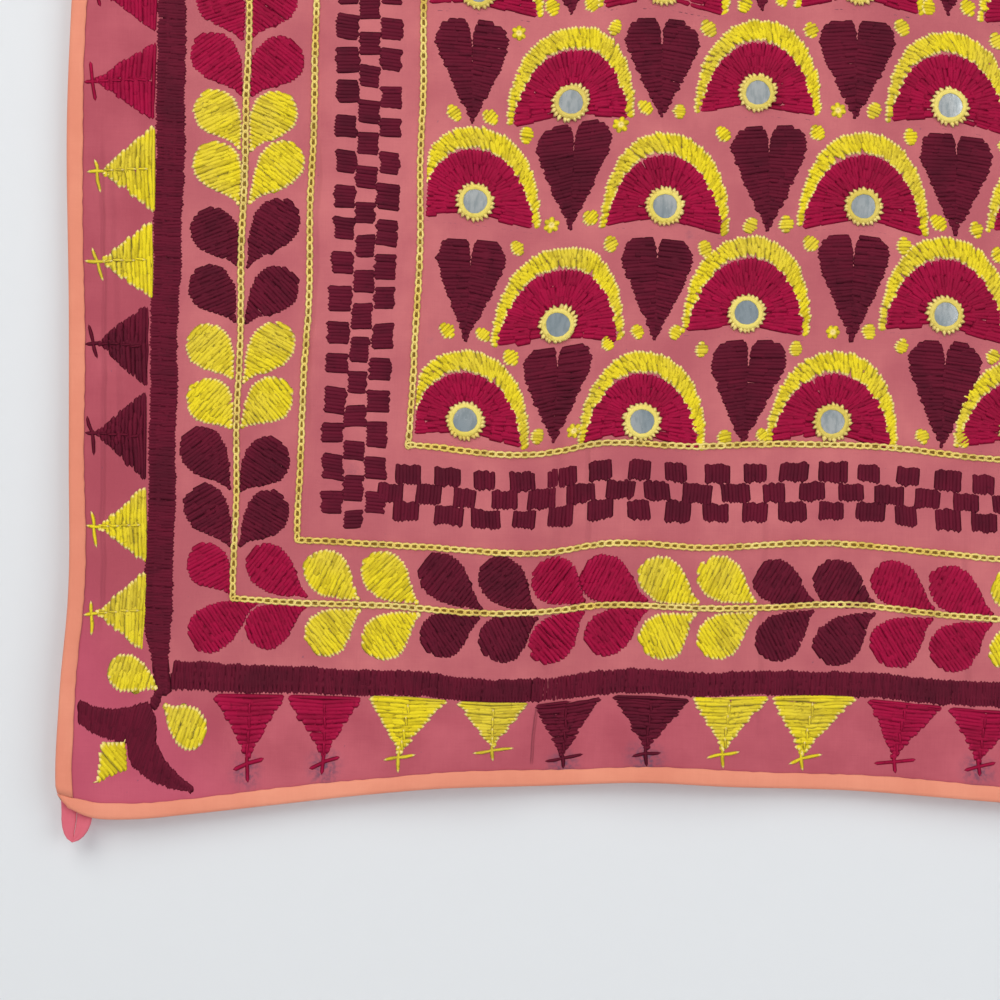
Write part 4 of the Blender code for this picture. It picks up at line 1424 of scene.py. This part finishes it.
def chains():
    """Every link of every line as one piece, and the low stitches of painted shade under them as another."""
    starts, aheads = [], []
    for side in SIDES:
        own, other, length = lines_of(side)
        for which in (1, 2, 3):
            s = np.linspace(other[which] - 0.8, length - other[which] + 0.8, 160)
            slow = 0.5 * np.sin(s / 31 + which) + 0.35 * np.sin(s / 12.7 + 2 * which)
            line = side_place(side, pair(s, own[which] + slow))
            walk = walked(line)
            marks = np.linspace(0, walk[-1], round(walk[-1] / LINK_PITCH) + 1)
            spots = at_marks(marks + jitter(len(marks), 0.25), walk, line)
            starts.append(spots[:-1])
            aheads.append(spots[1:] - spots[:-1])
    start, ahead = np.concatenate(starts), np.concatenate(aheads)
    count = len(start)
    start = start + pair(jitter(count, 0.12), jitter(count, 0.12))
    length = np.hypot(*ahead.T)[:, None]
    ahead = ahead / length
    width = rng.uniform(0.88, 1.08, count)[:, None] * (LINK_WIDTH - LINK_THREAD) / 2
    reach = (length + 0.95) / 2
    x = length / 2 + (reach + LINK_OUT * LINK_THREAD / 2) * np.cos(LINK_TURNS)
    narrow = 0.86 + 0.14 * np.cos(LINK_TURNS)
    y = (width * narrow + LINK_OUT * LINK_THREAD / 2) * np.sin(LINK_TURNS)
    flat = start[:, None] + ahead[:, None] * x[..., None] + aside_of(ahead)[:, None] * y[..., None]
    over = 0.22 * (1 + np.cos(LINK_TURNS))
    lift = FACE + 0.12 + (LINK_RISE * (LINK_HEIGHT + over) + (1 - LINK_RISE) * 0.15)
    points = hung(flat, lift)
    # the links' low points (LINK_RISE 0) get the floss's painted shade
    mesh = joined_mesh("chain links", points, LINK_FACES, 0.6, LINK_RISE, rng.random(count),
                       LINK_TURNS * 2.2, LINK_OUT / 3)
    print("chain stitch:", count, "links,", count * len(LINK_FACES) * 2, "triangles")
    # low stitches under the links, coloured as painted shade in each link's hole
    under = laid(start - 0.2 * ahead, start + ahead * (length + 0.4), 1.6, 0.35)
    return add_piece("chain_links", mesh, CHAIN_YELLOW), under


chain_piece, chain_hole_shade = chains()
stitch_pieces += [chain_piece,
                  stitched("chain hole shade threads", [chain_hole_shade], CHAIN_SHADOW, 2)]

# %% [markdown]
# ## The field of arches and hearts
#
# Each mirror sits in a crimson half disc, worked in three rings of stitches that point at the mirror. A
# yellow arch of meshing slanted stitches goes over it. Hearts stand between, and small dots fill in.

# %% Arches
FIELD_LEFT, FIELD_RIGHT, FIELD_TOP = 174.2, ACROSS_MM - 174.0, UP_MM - 176
CROWN, CROWNS = 37.6, {0: 36.2, 1: 38.8}   # how high the arches stand, and those of the two lowest rows
MIRROR_ROW_STEP = 0.054
ARCH_HALF_WIDTH, ARCH_SIDE, ARCH_TOP = 33.0, 3.9, 11.8     # the yellow's width at its feet and crown
DISC_HOLE = 7.4        # the half disc's stitches end this far from the mirror's middle
ARCH_FOOT = -10.0      # the arch's foot is this far above the mirror's middle
ARCH_FULLNESS = 0.92   # under 1 fills the arch's shoulders
# the outer, the inner and the middle layer: pitch, first, how deep it starts and how long it is as shares
# of the arch's thickness, how loose, how high, and how thick the arch must be
ARCH_LAYERS = ((1.95, 0.0, 0.0, 0.58, 0.9, 0.0, 0.0), (2.05, 0.5, 0.48, 0.56, 0.5, 0.12, 6.0),
               (2.4, 0.0, 0.28, 0.45, 0.8, 0.10, 7.0))

def inside_field(table):
    """Stop stitches at the inner chain, and leave out what would lie past it."""
    kept = table.copy()
    for edge, way in ((FIELD_LEFT, 1.0), (FIELD_RIGHT, -1.0)):
        start, end = way * (kept[:, 0] - edge), way * (kept[:, 2] - edge)
        kept = kept[(start > 0) | (end > 0)]
        for near, far in ((0, 2), (2, 0)):
            over = way * (kept[:, near] - edge) < 0
            share = (edge - kept[over, far]) / (kept[over, near] - kept[over, far])
            kept[over, near + 1] = kept[over, far + 1] + (kept[over, near + 1] - kept[over, far + 1]) * share
            kept[over, near] = edge
    nearest = np.minimum(kept[:, [0, 2]].min(axis=1) - FIELD_LEFT, FIELD_RIGHT - kept[:, [0, 2]].max(axis=1))
    kept = kept[(kept[:, 8] < 2) | (nearest > 4)]
    return kept[np.hypot(kept[:, 2] - kept[:, 0], kept[:, 3] - kept[:, 1]) > 1.2]


def arch_edge(turn, half_width, height):
    """A place on an arch by its turn from the right foot, in the mirror's own millimetres."""
    across = np.sign(np.cos(turn)) * np.abs(np.cos(turn)) ** ARCH_FULLNESS
    return pair(half_width * across, ARCH_FOOT + height * np.sin(turn) ** ARCH_FULLNESS)


def even_turns(half_width, height, pitch, first=0.0):
    """Turns that are evenly spaced along an arch."""
    turn = np.linspace(0.0, np.pi, 600)
    walk = walked(arch_edge(turn, half_width, height))
    return np.interp(np.arange(first + 0.6, walk[-1], pitch), walk, turn)


def yellow_arch(half_width, height):
    """Three meshing layers of slanted stitches, thick at the crown and narrow at the feet."""
    tables = []
    lean = rng.uniform(0.15, 0.42)
    for layer, (pitch, first, deep, share, loose, lift, needed) in enumerate(ARCH_LAYERS):
        turn = even_turns(half_width, height, pitch, first)
        count = len(turn)
        thick = 4.0 + 8.0 * np.sin(turn) ** 0.8
        inward = pair(-height * np.cos(turn), -half_width * np.sin(turn))
        inward /= np.hypot(*inward.T)[:, None]
        onward = pair(np.sin(turn) * half_width, -np.cos(turn) * height)
        onward /= np.hypot(*onward.T)[:, None]
        slant = lean + 0.34 * np.cos(turn) + jitter(count, 0.16)
        tooth = rng.uniform(-0.7, 0.5, count)
        begin = arch_edge(turn, half_width, height) + inward * (thick * deep + tooth)[:, None]
        if layer:
            begin += onward * (thick * 0.3 * slant)[:, None]
        else:
            share = share + 0.4 * np.clip((8.5 - thick) / 3.5, 0, 1)
        reach = thick * share + jitter(count, loose)
        finish = begin + inward * reach[:, None] + onward * (reach * slant)[:, None]
        if layer == 1:
            begin, finish = finish, begin
        table = laid(begin, finish, rng.uniform(1.8, 2.3, count), 0.55, jitter(count, 0.4),
                     lift + rng.uniform(0, 0.15, count))
        tables.append((inner_stitches(table) if layer == 2 else table)[thick > needed])
    return np.concatenate(tables)


def crimson_disc(half_width, top):
    """Three rings of stitches that point at the mirror."""
    height = top - ARCH_FOOT
    turn = np.linspace(math.radians(-22), math.radians(199), 400)
    p, q = np.cos(turn) / half_width, np.sin(turn) / height
    a, b, c = p * p + q * q, -2 * q * ARCH_FOOT / height, (ARCH_FOOT / height) ** 2 - 1
    edge = (-b + np.sqrt(b * b - 4 * a * c)) / (2 * a)
    tables = []
    # where each ring of stitches starts and stops between the outline and the mirror
    for number, (first, last) in enumerate(((-0.02, 0.42), (0.30, 0.72), (0.62, 1.0))):
        line = (edge * (1 - 0.8 * max(first, 0.1)))[:, None] * pair(np.cos(turn), np.sin(turn))
        walk = walked(line)
        marks = np.arange(0.5, walk[-1], 1.85 if number < 2 else 1.6)
        angle = np.interp(marks, walk, turn)
        out = np.interp(marks, walk, edge)
        count = len(marks)
        below = np.minimum(angle, 0) + np.maximum(angle - np.pi, 0)
        angle_in = angle + 1.5 * below + jitter(count, 0.05)
        far = out[:, None] * pair(np.cos(angle), np.sin(angle))
        near = (DISC_HOLE + jitter(count, 0.4))[:, None] * pair(np.cos(angle_in), np.sin(angle_in))
        loose = 0.02 if number == 0 else 0.07
        begin = far + (near - far) * (first + jitter(count, loose))[:, None]
        finish = far + (near - far) * (last + jitter(count, 0.06 if number < 2 else 0.01))[:, None]
        table = satin(begin, finish, 1.7, 2.5, 1.0, 0.3)
        tables += [inner_stitches(table), padding_under(line[::36] * 1.06, 5.5)] if number else [table]
    return np.concatenate(tables)


arches, discs = [], []
for across, up in mirror_places:
    row = round((up - MIRROR_ROWS[0][2]) / MIRROR_ROW_STEP)
    half_width, crown = ARCH_HALF_WIDTH + nudge(0.8), CROWNS.get(row, CROWN) + nudge(0.7)
    arch = yellow_arch(half_width, crown - ARCH_FOOT)
    disc = crimson_disc(half_width - ARCH_SIDE, crown - ARCH_TOP)
    for tables, table in ((arches, arch), (discs, disc)):
        tables.append(inside_field(moved(table, 1000 * across, 1000 * up)))
stitch_pieces += [stitched("yellow arches", arches, YELLOW),
                  stitched("crimson half discs", discs, CRIMSON, 2)]

# %% Faint pen lines
PEN_MARKS = 19

def pen_lines():
    """The drawn line that each arch was worked from shows as faint broken marks along its foot."""
    tables = []
    for across, up in mirror_places:
        x = np.arange(-31, 33, 3.4) + jitter(PEN_MARKS, 0.8)
        y = -11.6 - 0.002 * (x + 10) ** 2 * (x > -10) + jitter(PEN_MARKS, 0.3)
        start, step = pair(x, y)[:-1], np.diff(pair(x, y), axis=0)
        table = laid(start, start + step * rng.uniform(0.5, 0.95, PEN_MARKS - 1)[:, None], 0.30, 0.13)
        tables.append(inside_field(moved(table, 1000 * across, 1000 * up)[rng.random(PEN_MARKS - 1) < 0.75]))
    return tables


PEN, _, pen_shader = blank_material("faded pen", 0.9, specular=0.1)
pen_shader.inputs["Base Color"].default_value = colour(142, 84, 96)
stitch_pieces.append(stitched("pen lines", pen_lines(), PEN, 2))

# %% Rings round the mirrors
RING_STEPS = 30
TOOTH_IN, TOOTH_OUT = 6.6, 10.4        # a tooth's ends, from the mirror's middle
# distance from the mirror's middle and height over the cloth, in millimetres
RING_SECTION = [(5.95, 1.58), (6.25, 1.86), (7.0, 1.98), (7.9, 1.75), (8.5, 1.0), (8.6, -0.35), (8.38, 0.0),
                (8.38, 1.56)]

def mirror_rings():
    """The wrapped thread round every mirror, and the teeth of its buttonhole stitch."""
    section = np.array(RING_SECTION)
    turn, outside, high, faces = unit_ring(len(section), RING_STEPS)
    share = (math.pi - np.arctan2(high, outside)) / (2 * math.pi)
    which = np.rint(share * len(section)).astype(int) % len(section)
    points, teeth = [], []
    for across, up in mirror_places:
        centre, right, above, outward, highest = mirror_seat(across, up)
        uneven = 0.14 * np.sin(3 * turn + rng.uniform(0, 6)) + 0.08 * np.sin(11 * turn + rng.uniform(0, 6))
        far, high = section[which].T
        far = far + uneven * (far < 7.5)
        spot = far[:, None] * (np.cos(turn)[:, None] * right + np.sin(turn)[:, None] * above)
        points.append(centre + (spot + (high + 1000 * highest)[:, None] * outward) / 1000)
        count = int(rng.integers(22, 27))
        angle = np.linspace(0, 2 * math.pi, count, endpoint=False) + rng.uniform(0, 1) + jitter(count, 0.07)
        near = pair(np.cos(angle), np.sin(angle))
        lean = pair(np.cos(angle + 0.12), np.sin(angle + 0.12))
        long = TOOTH_OUT + jitter(count, 0.45) + 0.4 * np.sin(angle + rng.uniform(0, 6))
        table = laid(lean * long[:, None], near * TOOTH_IN, rng.uniform(1.4, 1.9, count), 1.8, 0.0, 1.1)
        teeth.append(moved(table, 1000 * across, 1000 * up))
    points = np.array(points)
    # the last three points of the ring's section get the floss's painted shade
    ring = joined_mesh("mirror rings", points, faces, 0.6, np.where(which < 5, 1.0, 0.3),
                       rng.random(len(points)), turn * 7.5, which / 4)
    print("mirror rings:", len(points) * len(faces) * 2, "triangles")
    return add_piece("mirror_rings", ring, RING_YELLOW), teeth


ring_piece, ring_teeth = mirror_rings()
stitch_pieces += [ring_piece, stitched("ring teeth", ring_teeth, CHAIN_YELLOW)]

# %% Hearts
HEART_STEP, HEART_LOBE = 1.8, 11.5     # between stitches, and how high the round lobes are
HEART_HALF_WIDTH, HEART_HEIGHT, HEART_NOTCH = 18.7, 50.0, 14.0

def heart(tip, height, half_width, notch, lean):
    """A heart over its tip, filled by level stitches that drop a little towards the outline."""
    y = np.arange(1.2, height, HEART_STEP)
    y = y + jitter(len(y), 0.15)
    wide = height - HEART_LOBE
    low = half_width * (np.clip(y, 0, wide) / wide) ** 0.86
    over = np.clip((y - wide) / HEART_LOBE, 0, 0.995)
    lobe = half_width / 2
    outer = np.where(y < wide, low, lobe + lobe * (1 - over ** 2.5) ** (1 / 2.1))
    opened = np.clip((y - height + notch) / notch, 0, 1)
    inner = 0.09 * lobe * opened ** 1.5 + 0.27 * lobe * opened ** 6 - 0.25
    tables = []
    for way in (1.0, -1.0):
        split = y > height - notch
        end = np.where(split, inner + jitter(len(y), 0.25), -rng.uniform(0.2, 1.6, len(y)))
        middle = lean * y / height
        rise = np.where(split, 0.4, 1.0) * rng.uniform(0.6, 1.5, len(y)) * np.minimum(1, outer / 8)
        begin = pair(middle + way * (outer + jitter(len(y), 0.65)), y - rise * 0.6)
        finish = pair(middle + way * end, y + rise * 0.9 + jitter(len(y), 0.5))
        keep = np.abs(begin[:, 0] - finish[:, 0]) > 1.2
        count = keep.sum()
        tables.append(broken(begin[keep], finish[keep], rng.uniform(1.8, 2.5, count),
                             -way * rng.uniform(-0.3, 0.9, count), rng.uniform(0, 0.22, count)))
    line = np.array([(0.6, 13), (3.0, 19), (6, 26), (8.5, height - 12), (8.5, height - 3)])
    tables += [padding_under(line * (way, 1), 6.0) for way in (-1, 1)]
    tables.append(padding_under([(0, 7), (0, 17), (0, 28)], 2.6))
    return moved(np.concatenate(tables), *tip)


# %% Dots
def dot(across, up):
    """A small round dot of a few level stitches, or now and then an open star."""
    radius = rng.uniform(3.4, 4.2)
    tilt = rng.uniform(-0.5, 0.9)
    if rng.random() < 0.12:
        angle = np.arange(6) * math.pi / 3 + tilt + jitter(6, 0.15)
        ray = pair(np.cos(angle), np.sin(angle))
        table = laid(-ray * 0.4, ray * (radius + 0.3), 2.2, 0.7, 0.0, 0.1)
    else:
        step = np.linspace(-0.8, 0.8, 5) * radius + jitter(5, 0.15)
        chord = np.sqrt(np.maximum(radius ** 2 - step ** 2, 1.0))
        ahead = np.array([math.cos(tilt), math.sin(tilt)])
        middle = step[:, None] * aside_of(ahead)
        begin, finish = (middle + way * (chord + 0.3 + jitter(5, 0.4))[:, None] * ahead for way in (-1, 1))
        table = laid(begin, finish, 1.75, 0.7, jitter(5, 0.3), rng.uniform(0, 0.2, 5))
    return moved(table, across, up)


# %% The hearts and dots in their rows
# hearts that were drawn one by one: row, number in the row, tip across, tip up, height
DRAWN_HEARTS = {
    (0, 0): (244.3, 175.7, 48.0), (0, 1): (338.4, 171.8, 52.0), (0, 2): (437.9, 174.0, 52.0),
    (1, 0): (197.0, 225.9, 51.0), (1, 1): (291.6, 222.7, 51.4), (1, 2): (390.0, 223.0, 53.0),
    (2, 0): (246.9, 281.8, 52.0), (2, 1): (345.9, 278.6, 52.0),
}

def field_fillers():
    """Hearts between the mirrors, with their dots."""
    shapes, dots = [], []
    for row, (first, spacing, up, shifts) in enumerate(MIRROR_ROWS):
        before = 0 if row % 2 == 0 else 1
        for number in range(len(shifts) - 1 + 2 * before):
            across = 1000 * (first + spacing * (number + 0.5 - before)) + nudge(1.5)
            tip, height = 1000 * up - 12.0 + nudge(1.2), HEART_HEIGHT + nudge(1.6)
            across, tip, height = DRAWN_HEARTS.get((row, number), (across, tip, height))
            half_width = HEART_HALF_WIDTH + nudge(0.9)
            shapes.append(heart((across, tip), height, half_width, HEART_NOTCH + nudge(3.0), nudge(1.2)))
            for way in (-1, 1):
                for aside, rise in ((9.3, 4.5), (23.5, height - 3.5)):
                    x, y = across + way * (aside + nudge(1.0)), tip + rise + nudge(1.2)
                    if FIELD_LEFT + 4 < x < FIELD_RIGHT - 4 and y < FIELD_TOP:
                        dots.append(dot(x, y))
    return shapes, dots


heart_tables, dot_tables = field_fillers()
stitch_pieces += [stitched("plum hearts", heart_tables, PLUM, 2),
                  stitched("yellow dots", dot_tables, YELLOW)]

# %% [markdown]
# ## The corners
#
# Outside the band, each corner has a plum crescent with two yellow leaves and a small yellow kite.

# %% Corner motifs
# (s, d) of the crescent's two edges and of the kite
CRESCENT_OUTER = [(8.9, 34.0), (19.3, 29.6), (33.6, 27.2), (34.4, 21.5), (36.3, 19.0), (44.7, 13.8),
                  (54.6, 10.4), (64.5, 9.3)]
CRESCENT_INNER = [(8.1, 44.2), (15.5, 42.0), (23.4, 40.6), (33.5, 41.2), (43.3, 43.1), (46.8, 38.7),
                  (47.7, 28.7), (52.0, 22.5), (60.5, 15.5), (67.4, 10.2)]
KITE_LEFT = [(32.3, 29.0), (19.9, 28.4), (18.9, 14.1)]
KITE_RIGHT = [(32.3, 29.0), (34.3, 18.7), (18.9, 14.1)]

CORNER_THREAD = 2.2

def between_edges(first, second, pitch, split=False):
    """Stitches from one edge to another; long ones are split into two that mesh."""
    walks = [walked(edge) for edge in (first, second)]
    count = round(max(walk[-1] for walk in walks) / pitch)
    share = np.linspace(0.015, 0.985, count)
    begin, finish = (at_marks(share * walk[-1], walk, edge) + pair(jitter(count, 0.35), jitter(count, 0.35))
                     for walk, edge in zip(walks, (first, second)))
    if not split:
        return laid(begin, finish, CORNER_THREAD, 0.62, jitter(count, 0.3), rng.uniform(0, 0.15, count))
    part = rng.uniform(0.35, 0.65, count)[:, None]
    return np.concatenate([
        laid(start, begin + (finish - begin) * (part + lap), CORNER_THREAD, 0.62, jitter(count, 0.2), lift)
        for start, lap, lift in ((begin, 0.12, 0.0), (finish, -0.12, 0.12))
    ])


corner_plum, corner_yellow = [], []
for side in SIDES:
    crescent = between_edges(CRESCENT_OUTER, CRESCENT_INNER, 1.25, split=True)
    stem = between_edges([(43.5, 43.4), (45.6, 47.0)], [(47.5, 39.6), (51.5, 46.8)], 1.4)
    corner_plum += [on_side(side, crescent), on_side(side, stem)]
    kite = between_edges(KITE_LEFT, KITE_RIGHT, 2.0)
    leaves = [leaf((48.6, 45.6), (30.6, 54.4), 8.9), leaf((49.9, 43.4), (63.8, 32.6), 8.6)]
    corner_yellow += [on_side(side, table) for table in (kite, *leaves)]
stitch_pieces += [stitched("plum crescents", corner_plum, PLUM),
                  stitched("yellow corner leaves", corner_yellow, YELLOW)]

# %% [markdown]
# ## The back of the work
#
# Between two stitches the thread runs along the outline behind the cloth, so the back shows each motif as
# a row of short running stitches. Each is taken from the tables: from where one stitch starts to where the
# next but one starts. They are shorter than the front's, so a plainer stitch with two rings does.

# %% Running stitches behind
BACK_EVERY = 3
BACK_SUNK = 0.06       # millimetres

def running_stitches(tables):
    """Stitches that run behind the cloth from one start to the next but one."""
    rows = np.concatenate(tables)
    start, end = rows[:-2:BACK_EVERY, 0:2], rows[2::BACK_EVERY, 0:2]
    run = end - start
    length = np.hypot(*run.T)
    keep = (length > 0.8) & (length < 5.0)
    return laid(start[keep], (start + run)[keep], 0.8, 0.24)


behind = {"y": vine["y"] + points_out["y"] + arches + dot_tables,
          "p": vine["p"] + points_out["p"] + heart_tables + bands, "c": vine["c"] + points_out["c"] + discs}
stitch_pieces += in_colours("behind", {key: [running_stitches(tables)] for key, tables in behind.items()},
                            (2, 2, 2), -1000 * CLOTH / 2 + BACK_SUNK)

# %% [markdown]
#
# The panel is one sheet, cut square and hung by its top edge. Everything sewn to it moves with it.

# %% Backdrop
WALL_BEHIND, FLOOR_LEVEL = 0.0095, -1.45

def backdrop():
    """A pale wall just behind the hanging, seen only from the front, and a floor below."""
    paint = bpy.data.materials.new("pale wall")
    paint.use_nodes = True
    w = Wiring(paint.node_tree)
    shader = paint.node_tree.nodes["Principled BSDF"]
    shader.inputs["Base Color"].default_value = colour(225, 227, 229)
    shader.inputs["Roughness"].default_value = 0.95
    back = w.node("ShaderNodeNewGeometry").outputs["Backfacing"]
    see_through = w.node("ShaderNodeBsdfTransparent")
    mixed = w.node("ShaderNodeMixShader")
    w.feed(mixed.inputs[0], back)
    w.feed(mixed.inputs[1], shader.outputs[0])
    w.feed(mixed.inputs[2], see_through.outputs[0])
    w.feed(paint.node_tree.nodes["Material Output"].inputs["Surface"], mixed.outputs[0])
    for name, place, turn in (("wall", (0.0, WALL_BEHIND, 1.2), 90), ("floor", (0.0, -3.4, FLOOR_LEVEL), 0)):
        mesh = bmesh.new()
        bmesh.ops.create_grid(mesh, x_segments=1, y_segments=1, size=3.5)
        bmesh.ops.rotate(mesh, verts=mesh.verts[:], matrix=Matrix.Rotation(math.radians(turn), 3, "X"))
        bmesh.ops.translate(mesh, verts=mesh.verts[:], vec=place)
        made = finished(name, mesh)
        made.materials.append(paint)
        plane = bpy.data.objects.new(name, made)
        studio.collection.objects.link(plane)
        if name == "wall":
            # daylight passes through it, so that the back of the cloth is lit when it is looked at
            plane.visible_shadow = plane.visible_diffuse = plane.visible_glossy = False


backdrop()
print("the wall stands", 1000 * WALL_BEHIND, "mm behind the cloth")
